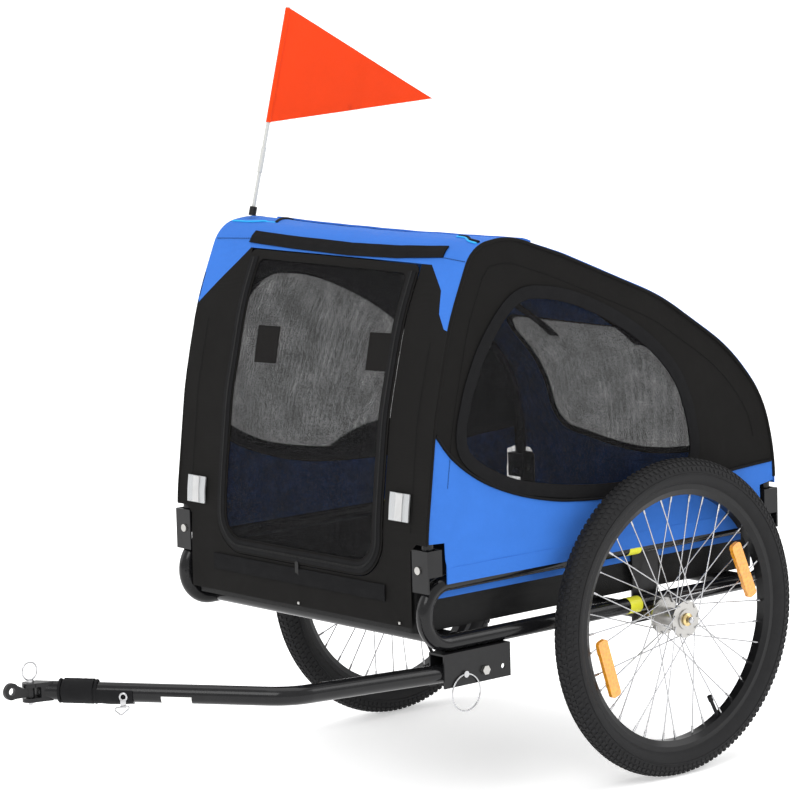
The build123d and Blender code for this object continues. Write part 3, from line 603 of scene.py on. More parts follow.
def inside(point: Point2, loop: Sequence[Point2]) -> bool:
    """Whether a point is inside a closed loop, by the even and odd rule."""
    u, v = point
    result = False
    for (a, b), (c, d) in zip(loop, list(loop[1:]) + [loop[0]]):
        if (b > v) != (d > v) and u < (c - a) * (v - b) / (d - b) + a:
            result = not result
    return result


def resample(loop: Sequence[Point2], step: float, closed: bool = True) -> list[Point2]:
    """Points along a loop no further apart than a step, keeping its corners."""
    ends = list(loop[1:]) + ([loop[0]] if closed else [])
    out: list[Point2] = []
    for (a, b), (c, d) in zip(loop, ends):
        count = max(1, round(hypot(c - a, d - b) / step))
        out += [(a + (c - a) * k / count, b + (d - b) * k / count) for k in range(count)]
    return out if closed else out + [loop[-1]]


def thin_out(loop: Sequence[Point2], gap: float) -> list[Point2]:
    """Drop points closer than a gap to the last kept one."""
    kept = [loop[0]]
    for point in loop[1:]:
        if hypot(point[0] - kept[-1][0], point[1] - kept[-1][1]) >= gap:
            kept.append(point)
    return kept


def rounded_loop(points: Sequence[Point2], radii: Sequence[float], closed: bool = True,
                 turns: int = 10) -> list[Point2]:
    """Round the corners of a polygon.

    Args:
        points: The polygon's corners.
        radii: One radius for each corner; the ends of an open path take none.
        closed: Whether the last corner joins the first.
        turns: Points in each rounded corner.

    Returns:
        The rounded outline's points.
    """
    count = len(points)
    out: list[Point2] = []
    for index, (point, radius) in enumerate(zip(points, radii)):
        if not closed and index in (0, count - 1) or radius <= 0:
            out.append(tuple(point))
            continue
        here = Vector(point)
        back = (Vector(points[index - 1]) - here).normalized()
        ahead = (Vector(points[(index + 1) % count]) - here).normalized()
        half = back.angle(ahead) / 2
        reach = radius / tan(half)
        centre = here + (back + ahead).normalized() * (radius / sin(half))
        first = here + back * reach - centre
        last = here + ahead * reach - centre
        for k in range(turns + 1):
            out.append(tuple(centre + (first * (1 - k / turns) + last * (k / turns)).normalized() * radius))
    return out


def spline_loop(points: Sequence[Point2], closed: bool = True, steps: int = 8) -> list[Point2]:
    """Smooth curve through points, by Catmull and Rom's rule."""
    count = len(points)
    out: list[Point2] = []
    for index in range(count if closed else count - 1):
        def pick(offset: int) -> Vector:
            """A neighbour of the current point, held at the ends of an open curve."""
            place = index + offset
            return Vector(points[place % count] if closed else points[max(0, min(count - 1, place))])
        a, b, c, d = (pick(k) for k in (-1, 0, 1, 2))
        for k in range(steps):
            t = k / steps
            out.append(tuple(0.5 * ((2 * b) + (c - a) * t + (2 * a - 5 * b + 4 * c - d) * t * t
                                    + (3 * b - a - 3 * c + d) * t ** 3)))
    return out if closed else out + [tuple(points[-1])]


Place = Callable[[float, float, float], Vector]
Relief = Callable[[float, float], float]


def flat_relief(u: float, v: float) -> float:
    """No relief at all."""
    return 0.0


def taut_relief(depth: float, seed: float) -> Relief:
    """Soft pulls and puckers of cloth stretched over a frame."""
    def relief(u: float, v: float) -> float:
        """Height of the cloth over its flat shape."""
        broad = noise.noise(Vector((u * 5.0, v * 5.0, seed)))
        drawn = noise.noise(Vector((u * 22.0 + v * 9.0, v * 7.0, seed + 3.0)))
        fine = noise.noise(Vector((u * 60.0, v * 60.0, seed + 7.0)))
        return depth * (broad * 0.75 + drawn * 0.3 + fine * 0.08)
    return relief


def cut_cloth(name: str, outer: Sequence[Point2], holes: Sequence[Sequence[Point2]],
              place: Place, step: float = 0.011, thick: float = CLOTH_GAUGE,
              relief: Relief = flat_relief) -> bpy.types.Object:
    """Cut a cloth panel with holes and lay it on a curved surface.

    Args:
        name: The piece's name.
        outer: The cut's outline in the surface's own two directions.
        holes: Outlines of its openings.
        place: Gives the point in space for two directions and a lift off the surface.
        step: Size of the panel's triangles.
        thick: The cloth's thickness.
        relief: Height of its puckers.

    Returns:
        The panel.
    """
    loops = [resample(loop, step * 0.75) for loop in (outer, *holes)]
    points: list[Vector] = []
    edges: list[tuple[int, int]] = []
    for loop in loops:
        start = len(points)
        points += [Vector(p) for p in loop]
        edges += [(start + k, start + (k + 1) % len(loop)) for k in range(len(loop))]
    near = {(round(p.x / step), round(p.y / step)) for p in points}
    us = [p.x for p in points]
    vs = [p.y for p in points]
    for row in range(round(min(vs) / step), round(max(vs) / step) + 1):
        for column in range(round(min(us) / step), round(max(us) / step) + 1):
            if (column, row) in near:
                continue
            spot = (column * step, row * step)
            if inside(spot, loops[0]) and not any(inside(spot, hole) for hole in loops[1:]):
                points.append(Vector(spot))
    made = geometry.delaunay_2d_cdt(points, edges, [], 0, 1e-7)
    faces = []
    for face in made[2]:
        middle = sum((made[0][k] for k in face), Vector((0, 0))) / len(face)
        if inside(tuple(middle), loops[0]) and not any(inside(tuple(middle), h) for h in loops[1:]):
            faces.append(face)
    obj = mesh_piece(name, [place(p.x, p.y, relief(p.x, p.y)) for p in made[0]], faces)
    clean = bmesh.new()
    clean.from_mesh(obj.data)
    bmesh.ops.delete(clean, geom=[v for v in clean.verts if not v.link_faces], context="VERTS")
    bmesh.ops.recalc_face_normals(clean, faces=clean.faces)
    middle_face = max(clean.faces, key=lambda f: f.calc_area())
    centre = middle_face.calc_center_median()
    if middle_face.normal.dot(centre - Vector((0, centre.y * 0.2, 0.45))) < 0:
        bmesh.ops.reverse_faces(clean, faces=clean.faces)
    clean.to_mesh(obj.data)
    clean.free()
    modify(obj, "SOLIDIFY", thickness=thick, offset=0.0)
    return smooth(obj, 50)


def tape(name: str, loop: Sequence[Point2], width: float, place: Place, lift: float,
         closed: bool = True, thick: float = CLOTH_GAUGE) -> bpy.types.Object:
    """Lay a flat tape along a line on a curved surface.

    Args:
        name: The piece's name.
        loop: The tape's middle line in the surface's two directions.
        width: The tape's width.
        place: Gives the point in space.
        lift: How far the tape lies off the surface.
        closed: Whether the line is a loop.
        thick: The tape's thickness.

    Returns:
        The tape.
    """
    line = thin_out(resample(loop, TAPE_STEP, closed), TAPE_STEP / 4)
    count = len(line)
    points: list[Vector] = []
    for index, here in enumerate(line):
        ahead = line[(index + 1) % count] if closed else line[min(index + 1, count - 1)]
        behind = line[index - 1] if closed else line[max(index - 1, 0)]
        run = Vector(ahead) - Vector(behind)
        across = Vector((-run.y, run.x)).normalized() * (width / 2)
        for share in (-1.0, 0.0, 1.0):
            crown = lift + (0.0006 if share == 0 else 0.0)
            points.append(place(here[0] + across.x * share, here[1] + across.y * share, crown))
    faces = []
    for index in range(count if closed else count - 1):
        a, b = 3 * index, 3 * ((index + 1) % count)
        faces += [(a, a + 1, b + 1, b), (a + 1, a + 2, b + 2, b + 1)]
    obj = mesh_piece(name, points, faces)
    modify(obj, "SOLIDIFY", thickness=thick, offset=0.0)
    return smooth(turn_outwards(obj), 50)


def stitches(name: str, line: Sequence[Point2], place: Place, lift: float,
             closed: bool = False, pitch: float = 0.0048) -> bpy.types.Object:
    """Sew a row of short raised stitches along a line on a curved surface."""
    points: list[Vector] = []
    faces: list[tuple[int, ...]] = []
    track = resample(line, pitch, closed)
    for here, ahead in zip(track, track[1:]):
        run = Vector(ahead) - Vector(here)
        if run.length < pitch * 0.4:
            continue
        across = Vector((-run.y, run.x)).normalized() * 0.0005
        start = len(points)
        for share, height in ((0.0, -0.0003), (0.35, 0.0005), (0.7, -0.0003)):
            spot = Vector(here) + run * share
            for side in (-1, 1):
                edge = spot + across * side
                points.append(place(edge.x, edge.y, lift + height))
            points.append(place(spot.x, spot.y, lift + height + 0.0005))
        for a, b in ((0, 3), (3, 6)):
            s, t = start + a, start + b
            faces += [(s, t, t + 2, s + 2), (s + 2, t + 2, t + 1, s + 1), (s + 1, t + 1, t, s)]
        faces += [(start, start + 2, start + 1), (start + 6, start + 7, start + 8)]
    return turn_outwards(mesh_piece(name, points, faces))


def lathe(name: str, profile: Sequence[Point2], centre: Vector, steps: int = 48) -> bpy.types.Object:
    """Turn a closed profile round a line along X.

    Args:
        name: The piece's name.
        profile: Points as distance along X and radius.
        centre: A point on the line that X is measured from.
        steps: Facets round the line.

    Returns:
        The turned piece.
    """
    clear_selection()
    count = len(profile)
    points = [centre + Vector((x, 0, radius)) for x, radius in profile]
    obj = mesh_piece(name, points, [tuple(range(count))])
    focus(obj)
    bpy.ops.object.mode_set(mode="EDIT")
    bpy.ops.mesh.select_all(action="SELECT")
    bpy.ops.mesh.spin(steps=steps, angle=2 * pi, center=tuple(centre), axis=(1, 0, 0))
    bpy.ops.mesh.select_all(action="SELECT")
    bpy.ops.mesh.remove_doubles(threshold=1e-6)
    bpy.ops.object.mode_set(mode="OBJECT")
    return smooth(turn_outwards(obj, drop_caps=True), 35)


def rounded_block(name: str, centre: Any, size: Any, bevel: float, turn: Matrix | None = None,
                  segments: int = 3) -> bpy.types.Object:
    """Add a block at its size and place with rounded edges."""
    clear_selection()
    bpy.ops.mesh.primitive_cube_add(size=1.0, location=(0, 0, 0))
    obj = bpy.context.view_layer.objects.active
    obj.name = obj.data.name = name
    obj.scale = size
    settle(obj)
    modify(obj, "BEVEL", width=bevel, segments=segments, limit_method="NONE")
    obj.matrix_world = Matrix.Translation(Vector(centre)) @ (turn or Matrix.Identity(4))
    settle(obj)
    return smooth(obj, 40)


# ---------------------------------------------------------------- cloth surfaces


@dataclass
class Cut:
    """A cloth cut: its outline and openings in the flat."""

    outer: list[Point2]
    holes: list[list[Point2]]

    @staticmethod
    def loop_area(loop: Sequence[Point2]) -> float:
        """Area inside a closed loop."""
        pairs = zip(loop, list(loop[1:]) + [loop[0]])
        return abs(sum(a * d - b * c for (a, b), (c, d) in pairs)) / 2

    def flat(self) -> Point2:
        """Width and length of the smallest rectangle of cloth that it can be cut from."""
        sizes = []
        for step in range(18):
            turn = radians(5 * step)
            us = [u * cos(turn) + v * sin(turn) for u, v in self.outer]
            vs = [v * cos(turn) - u * sin(turn) for u, v in self.outer]
            sizes.append((max(us) - min(us), max(vs) - min(vs)))
        return min(sizes, key=lambda size: size[0] * size[1])

    def area(self) -> float:
        """Flat area with the openings taken out."""
        return self.loop_area(self.outer) - sum(self.loop_area(hole) for hole in self.holes)


@dataclass
class CabinShape:
    """Set-out of the cabin's cover, shared by all its cloth."""

    axle_y: float = 0.37875
    hem_z: float = 0.296
    half: float = 0.298
    grow: float = 0.013
    cuff_half: float = 0.262
    notch_z: float = 0.424
    side_x: float = 0.296
    rail_out: float = 0.0032
    rail_ease_z: float = 0.402
    rail_ease: float = 0.014
    hoop: tuple[Point2, ...] = (
        (-0.466, 0.378), (-0.464, 0.440), (-0.442, 0.608), (-0.409, 0.745),
        (-0.363, 0.849), (-0.300, 0.857), (-0.196, 0.822), (0.014, 0.737),
        (0.160, 0.644), (0.233, 0.562), (0.257, 0.470), (0.257, 0.378),
    )
    bend_cap: float = 0.42
    top_bend: float = 0.042
    top_corner: int = 4
    piping: tuple[Point2, ...] = (
        (-0.500, 0.640), (-0.458, 0.592), (-0.418, 0.546), (-0.363, 0.508),
        (-0.296, 0.480), (-0.228, 0.462), (-0.164, 0.453), (-0.060, 0.447),
        (0.060, 0.449), (0.173, 0.457), (0.300, 0.463),
    )
    window: tuple[Point2, ...] = (
        (-0.399, 0.556), (-0.388, 0.642), (-0.345, 0.722), (-0.288, 0.775),
        (-0.225, 0.778), (-0.140, 0.754), (-0.030, 0.697), (0.050, 0.624),
        (0.084, 0.540), (0.082, 0.482), (0.020, 0.463), (-0.090, 0.460),
        (-0.215, 0.474), (-0.320, 0.501),
    )

    def __post_init__(self) -> None:
        """Round the hoop's bends and measure along the cover's band."""
        points = [Vector(p) for p in self.hoop]
        radii = [0.0]
        for back, here, ahead in zip(points, points[1:], points[2:]):
            run_in, run_out = here - back, ahead - here
            half_turn = run_in.angle(run_out) / 2
            radii.append(min(self.bend_cap, 0.45 * min(run_in.length, run_out.length) / tan(half_turn)))
        radii[self.top_corner] = self.top_bend
        path = rounded_loop(self.hoop, radii + [0.0], closed=False, turns=14)
        path = [(path[0][0], self.hem_z), *path, (path[-1][0], self.hem_z)]
        path = thin_out(resample(path, 0.006, closed=False), 0.0015)
        line = [Vector((y + self.axle_y, z)) for y, z in path]
        self.middle: list[Vector] = []
        self.normals: list[Vector] = []
        for index, here in enumerate(line):
            run = line[min(index + 1, len(line) - 1)] - line[max(index - 1, 0)]
            normal = Vector((-run.y, run.x)).normalized()
            self.normals.append(normal)
            self.middle.append(here + normal * self.grow)
        self.run = [0.0]
        for back, here in zip(self.middle, self.middle[1:]):
            self.run.append(self.run[-1] + (here - back).length)

    @property
    def length(self) -> float:
        """Length of the band from the front hem to the rear hem."""
        return self.run[-1]

    def spot(self, s: float) -> tuple[Vector, Vector]:
        """Point and outward direction on the band at a length from the front hem."""
        s = max(0.0, min(self.length, s))
        low, high = 0, len(self.run) - 1
        while high - low > 1:
            mid = (low + high) // 2
            low, high = (mid, high) if self.run[mid] <= s else (low, mid)
        share = (s - self.run[low]) / (self.run[high] - self.run[low])
        point = self.middle[low].lerp(self.middle[high], share)
        return point, self.normals[low].lerp(self.normals[high], share).normalized()

    def band(self, x: float, s: float, lift: float) -> Vector:
        """Point on the cover's band."""
        point, normal = self.spot(s)
        point = point + normal * lift
        return Vector((x, point.x, point.y))

    def rise(self, z: float) -> float:
        """Length along the band up to a height on the front."""
        for index in range(1, len(self.middle)):
            if self.middle[index].y >= z:
                a, b = self.middle[index - 1].y, self.middle[index].y
                return self.run[index - 1] + (z - a) / (b - a) * (self.run[index] - self.run[index - 1])
        return self.length / 2

    def fall(self, z: float) -> float:
        """Length along the band down to a height on the rear."""
        for index in range(len(self.middle) - 1, 0, -1):
            if self.middle[index - 1].y >= z:
                a, b = self.middle[index].y, self.middle[index - 1].y
                return self.run[index] - (z - a) / (b - a) * (self.run[index] - self.run[index - 1])
        return self.length / 2

    def back(self, y: float) -> float:
        """Length along the band to a distance from the axle, on the roof."""
        goal = y + self.axle_y
        first = self.rise(0.80)
        for index in range(1, len(self.middle)):
            if self.run[index] > first and self.middle[index].x >= goal:
                return self.run[index]
        return self.length

    def side(self, side: Side) -> Place:
        """Surface of one side panel: distance along Y from the axle, height, lift."""
        def place(y: float, z: float, lift: float) -> Vector:
            """Point on the side panel, eased outwards over the rail at its foot."""
            ease = max(0.0, min(1.0, (self.rail_ease_z - z) / self.rail_ease))
            out = self.side_x + self.rail_out * ease * ease * (3 - 2 * ease)
            return Vector((side.value * (out + lift), y + self.axle_y, z))
        return place

    def side_outline(self, grow: float, low: float) -> list[Point2]:
        """Side panel's outline above a height, grown outwards from the hoop's line."""
        shrink = grow - self.grow
        out = []
        for point, normal in zip(self.middle, self.normals):
            spot = point + normal * shrink
            if spot.y > low:
                out.append((spot.x - self.axle_y, spot.y))
        return out


def declare(obj: bpy.types.Object, cut: Cut, held: str) -> None:
    """Log a cloth's flat size, its area and how it is held."""
    width, length = cut.flat()
    area = min(cut.area(), width * length)
    log.info("sheet %s flat %.3f x %.3f m, area %.4f m2, %s", obj.name, width, length, area, held)


def crumple(obj: bpy.types.Object, body: str = "chassis") -> None:
    """Let a soft piece ride on a body, on a mesh of its own."""
    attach(obj, body)
    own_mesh(obj)


def rectangle(low: Point2, high: Point2) -> list[Point2]:
    """Corners of a rectangle."""
    return [low, (high[0], low[1]), high, (low[0], high[1])]


# ---------------------------------------------------------------- cabin cover


@dataclass
class Cover:
    """Front, roof and rear cloth with the rear window and its trims."""

    shape: CabinShape
    finishes: Finishes
    door_half: float = 0.198
    door_low: float = 0.362
    door_high: float = 0.828
    door_corner: float = 0.060
    door_gap: float = 0.0015
    blue_front: tuple[Point2, ...] = (
        (0.298, 0.738), (0.286, 0.741), (0.268, 0.762), (0.258, 0.795), (0.222, 0.8300),
    )
    blue_far: tuple[Point2, ...] = ((-0.298, 0.738), (-0.252, 0.782), (-0.2035, 0.8300))
    window_low: float = 0.450
    window_high: float = 0.680
    window_half: float = 0.215
    window_corner: float = 0.055
    roof_sag: float = 0.004
    flap_y: float = -0.262
    relief: Relief = taut_relief(0.0024, 1.0)
    LOOP_STRIPS: ClassVar[tuple[tuple[str, tuple[Point2, ...], float], ...]] = (
        ("lower_loop_strip", ((-0.205, 0.343), (0.205, 0.343)), 0.025),
        ("upper_loop_strip", ((-0.210, 0.8455), (-0.10, 0.8425), (0.03, 0.8405), (0.14, 0.8430),
                              (0.241, 0.8490)), 0.021),
    )
    PATCHES: ClassVar[dict[Side, Point2]] = {Side.LEFT: (0.237, 0.476), Side.RIGHT: (-0.247, 0.452)}

    def door_opening(self) -> list[Point2]:
        """Door opening's outline in x and length along the band, from top left round to top right."""
        half, gap = self.door_half + self.door_gap, self.door_gap
        low = self.shape.rise(self.door_low - gap)
        high = self.shape.rise(self.door_high + gap)
        corner = self.door_corner
        path = [(half, high), (half, low), (-half, low), (-half, high)]
        return rounded_loop(path, [0, corner, corner, 0], closed=False)

    def boundary(self, sign: int) -> list[Point2]:
        """Line where the blue roof meets the black front on one side, from the edge inwards."""
        line = self.blue_front if sign > 0 else self.blue_far
        return [(x, self.shape.rise(z)) for x, z in line]

    def front(self) -> None:
        """Black front cloth round the door."""
        hem = 0.0
        notch = self.shape.rise(self.shape.notch_z)
        cuff, half = self.shape.cuff_half, self.shape.half
        opening = self.door_opening()
        outer = [(-cuff, hem), (cuff, hem), (cuff, notch - 0.012), (cuff + 0.012, notch), (half, notch)]
        outer += self.boundary(1) + opening + list(reversed(self.boundary(-1)))
        outer += [(-half, notch), (-cuff - 0.012, notch), (-cuff, notch - 0.012)]
        cut = Cut(outer, [])
        obj = cut_cloth("front_cloth", cut.outer, [], self.shape.band, relief=self.relief)
        self.finishes.wear(obj, "black_fabric")
        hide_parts("front_panel")
        crumple(obj)
        declare(obj, cut, "stretched")

    def window_outline(self) -> list[Point2]:
        """Rear window's outline in x and length along the band."""
        low = self.shape.fall(self.window_low)
        high = self.shape.fall(self.window_high)
        half, corner = self.window_half, self.window_corner
        foot = half * 0.98
        loop = [(-half, high), (half, high), (foot, low - 0.02), (0, low + 0.012), (-foot, low - 0.02)]
        return rounded_loop(loop, [corner * 1.4, corner * 1.4, corner, 0.5, corner])

    def sag(self, x: float) -> float:
        """Depth of the cloth's sag between the hoops at a distance across."""
        return self.roof_sag * (1 - (x / self.shape.half) ** 2)

    def roof_relief(self, x: float, s: float) -> float:
        """Tension dimples, and a shallow sag between the hoops."""
        top = self.shape.rise(self.door_high + self.door_gap + 0.0005)
        return self.relief(x, s) - (self.sag(x) if s > top + 0.06 else 0.0)

    def roof(self) -> None:
        """Blue cloth from the door's top over the roof and down the rear."""
        half, cuff = self.shape.half, self.shape.cuff_half
        notch = self.shape.fall(self.shape.notch_z)
        end = self.shape.length
        top = self.shape.rise(self.door_high + self.door_gap + 0.0005)
        outer = [(-half, notch), *self.boundary(-1)]
        middle = [(-0.18, top - 0.002), (-0.09, top - 0.0035), (0.0, top - 0.004),
                  (0.09, top - 0.0035), (0.18, top - 0.002)]
        outer += [(x, max(s, top)) for x, s in middle]
        outer += list(reversed(self.boundary(1)))
        outer += [(half, notch), (cuff + 0.012, notch), (cuff, notch + 0.012), (cuff, end), (-cuff, end),
                  (-cuff, notch + 0.012), (-cuff - 0.012, notch)]
        cut = Cut(outer, [self.window_outline()])
        obj = cut_cloth("canopy_cloth", cut.outer, cut.holes, self.shape.band, relief=self.roof_relief)
        self.finishes.wear(obj, "blue_fabric")
        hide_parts("roof_cover", "rear_panel")
        crumple(obj)
        declare(obj, cut, "stretched")

    def rear_window(self) -> None:
        """Rear window netting, its binding and two hanging straps inside."""
        loop = self.window_outline()
        cut = Cut(loop, [])
        net = cut_cloth("rear_window_net", loop, [], self.shape.band, step=0.014, thick=NET_GAUGE,
                        relief=lambda x, s: -self.sag(x))
        self.finishes.wear(net, "black_mesh")
        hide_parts("rear_window_mesh")
        crumple(net)
        declare(net, cut, "stretched")
        edge = tape("rear_window_binding", loop, 0.020,
                    lambda x, s, lift: self.shape.band(x, s, lift - self.sag(x)), 0.0016, thick=BINDING_GAUGE)
        crumple(self.finishes.wear(edge, "binding", "webbing"))
        for number, x in enumerate((-0.10, 0.10)):
            start = self.shape.fall(self.window_high + 0.04)
            strap = tape(f"rear_strap_{number + 1}", [(x, start), (x, start + 0.13)], 0.024,
                         self.shape.band, -0.0075, closed=False, thick=WEBBING_GAUGE)
            crumple(self.finishes.wear(strap, "webbing"))

    def skin(self, x: float, s: float, lift: float) -> Vector:
        """Point on the stretched cloth, with its puckers."""
        return self.shape.band(x, s, lift + self.relief(x, s))

    def sew(self, obj: bpy.types.Object, finish: str, slot: str = "webbing") -> None:
        """Dress a trim and let it ride on the chassis with the cover."""
        crumple(self.finishes.wear(obj, finish, slot))

    def trims(self) -> None:
        """Hook strips, reflective patches, stitching, roof flap and slits."""
        rise = self.shape.rise
        for name, line, width in self.LOOP_STRIPS:
            self.sew(tape(name, [(x, rise(z)) for x, z in line], width, self.skin, 0.0022, closed=False,
                          thick=WEBBING_GAUGE), "loop_tape")
        for side in Side:
            self.corner_trims(side)
        edge = self.shape.back(self.flap_y)
        flap_line = [(-0.285, edge), (-0.14, edge - 0.004), (0.0, edge - 0.006), (0.14, edge - 0.003),
                     (0.288, edge + 0.002)]
        flap = tape("roof_flap_edge", flap_line, 0.020,
                    lambda x, s, lift: self.skin(x, s, lift - self.sag(x)), 0.0040, closed=False,
                    thick=0.0026)
        self.sew(flap, "blue_fabric", "blue_fabric")

    def corner_trims(self, side: Side) -> None:
        """Reflective patch, seams and slit on one side of the front."""
        label, sign, band = side.label, side.value, self.skin
        x, z = self.PATCHES[side]
        s = self.shape.rise(z)
        self.sew(tape(f"{label}_reflective_patch", [(x - 0.022, s), (x + 0.022, s)], 0.042, band, 0.0034,
                      closed=False, thick=0.0022), "silver_tape")
        self.sew(tape(f"{label}_patch_fold", [(x, s - 0.0205), (x, s + 0.0205)], 0.015, band, 0.0052,
                      closed=False, thick=WEBBING_GAUGE), "grey_webbing")
        seam = [(sign * 0.262, self.shape.rise(z / 100)) for z in range(44, 73, 4)]
        self.sew(stitches(f"{label}_front_seam", seam, band, 0.0016), "thread")
        top = self.shape.rise(0.838)
        corner = [(sign * 0.292, top), (sign * 0.20, top + 0.006)]
        self.sew(stitches(f"{label}_corner_seam", corner, band, 0.0018), "thread")
        for piece, finish in zip(self.slit(side), ("binding", "cyan_piping")):
            self.sew(piece, finish)

    def slit(self, side: Side) -> tuple[bpy.types.Object, bpy.types.Object]:
        """Bound slit at a top front corner that a frame end or the pole comes through."""
        start = self.shape.back(-0.352)
        if side is Side.LEFT:
            edge = [(0.286, start + 0.004), (0.262, start + 0.010), (0.238, start + 0.026),
                    (0.215, start + 0.030)]
            trim = [(x, s - 0.005) for x, s in edge]
        else:
            edge = [(x, self.shape.back(y)) for x, y in ((-0.204, -0.341), (-0.225, -0.305), (-0.250, -0.262),
                                                         (-0.294, -0.190))]
            trim = [(-0.290, start), (-0.245, self.shape.back(-0.349)), (-0.204, self.shape.back(-0.341))]
        dark, cyan = (
            tube(f"{side.label}_{name}",
                 [self.shape.band(x, s, self.roof_relief(x, s) + 0.0016)
                  for x, s in spline_loop(line, closed=False)], radius)
            for name, line, radius in (("slit_binding", edge, 0.0024), ("slit_piping", trim, 0.0016)))
        return dark, cyan

    def studs(self) -> None:
        """Small press studs along the front hem."""
        heads = []
        for x in (0.0, 0.235):
            place = self.skin(x, 0.005, 0.0014)
            head = rounded_block("stud", place, (0.0044, 0.0024, 0.0044), 0.0010, segments=3)
            heads.append(head)
        clear_selection()
        for head in heads:
            head.select_set(True)
        bpy.context.view_layer.objects.active = heads[0]
        bpy.ops.object.join()
        studs = heads[0]
        studs.name = studs.data.name = "hem_studs"
        crumple(self.finishes.wear(studs, "zinc_steel"))

    def build(self) -> None:
        """Make all the cover's cloth and trims."""
        self.front()
        self.roof()
        self.rear_window()
        self.trims()
        self.studs()
        log.info("cover made")


@dataclass
class Door:
    """Zipped front door: netting with a black border, zipper and patches."""

    cover: Cover
    finishes: Finishes
    border: float = 0.024

    def outline(self, inset: float) -> list[Point2]:
        """Door's outline, drawn in by an amount, as a closed loop."""
        cover = self.cover
        half = cover.door_half - inset
        low = cover.shape.rise(cover.door_low) + inset
        high = cover.shape.rise(cover.door_high) - inset * 0.6
        corner = max(0.02, cover.door_corner - inset)
        top = 0.012
        return rounded_loop([(half, low), (half, high), (-half, high), (-half, low)],
                            [corner, top, top, corner])

    def attach(self, obj: bpy.types.Object, finish: str, slot: str | None = None) -> bpy.types.Object:
        """Dress a door piece and let it swing with the door."""
        self.finishes.wear(obj, finish, slot)
        crumple(obj, "front_door")
        return obj

    def build(self) -> None:
        """Make the door's cloth, zipper and patches."""
        shape = self.cover.shape
        relief = self.cover.relief
        loop = self.outline(0.0)
        cut = Cut(loop, [])
        net = cut_cloth("door_net", loop, [], shape.band, step=0.012, thick=NET_GAUGE, relief=relief)
        border = cut_cloth("door_border", self.outline(0.0), [self.outline(self.border)],
                           lambda x, s, lift: shape.band(x, s, lift + 0.0012), step=0.008,
                           thick=0.0014, relief=relief)
        self.attach(net, "black_mesh")
        self.attach(border, "black_fabric")
        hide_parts("front_door_mesh")
        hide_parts("front_door")
        zip_line = self.zip_line(0.012)
        zip_tape = tape("door_zip_tape", zip_line, 0.017, self.cover.skin, 0.0026, closed=False, thick=0.0009)
        self.attach(zip_tape, "binding", "webbing")
        self.attach(self.zip_teeth(zip_line), "moulded_black")
        for number, (x, z) in enumerate(((-0.109, 0.688), (0.154, 0.697))):
            s = shape.rise(z)
            patch = tape(f"door_patch_{number + 1}", [(x - 0.026, s), (x + 0.026, s + 0.002)], 0.058,
                         self.cover.skin, 0.0018, closed=False)
            self.attach(patch, "black_fabric")
        declare(net, cut, "stretched")
        log.info("door made")

    def zip_line(self, inset: float) -> list[Point2]:
        """Zipper's run down one side, under the door and up the other."""
        cover = self.cover
        half = cover.door_half - inset
        low = cover.shape.rise(cover.door_low) + inset
        high = cover.shape.rise(cover.door_high) - 0.012
        corner = cover.door_corner - inset
        return rounded_loop([(half, high), (half, low), (-half, low), (-half, high)],
                            [0, corner, corner, 0], closed=False)

    def zip_teeth(self, line: Sequence[Point2]) -> bpy.types.Object:
        """Row of teeth along the zipper."""
        place = self.cover.skin
        points: list[Vector] = []
        faces: list[tuple[int, ...]] = []
        track = resample(line, 0.0032, closed=False)
        for here, ahead in zip(track, track[1:]):
            run = Vector(ahead) - Vector(here)
            if run.length < 0.001:
                continue
            along = run.normalized() * 0.0011
            across = Vector((-run.y, run.x)).normalized() * 0.0022
            start = len(points)
            for height, size in ((0.0026, 1.0), (0.0044, 0.7)):
                for a, b in BLOCK_CORNERS:
                    spot = Vector(here) + along * a * size + across * b * size
                    points.append(place(spot.x, spot.y, height))
            faces += block_faces(start)
        return turn_outwards(mesh_piece("door_zip_teeth", points, faces))


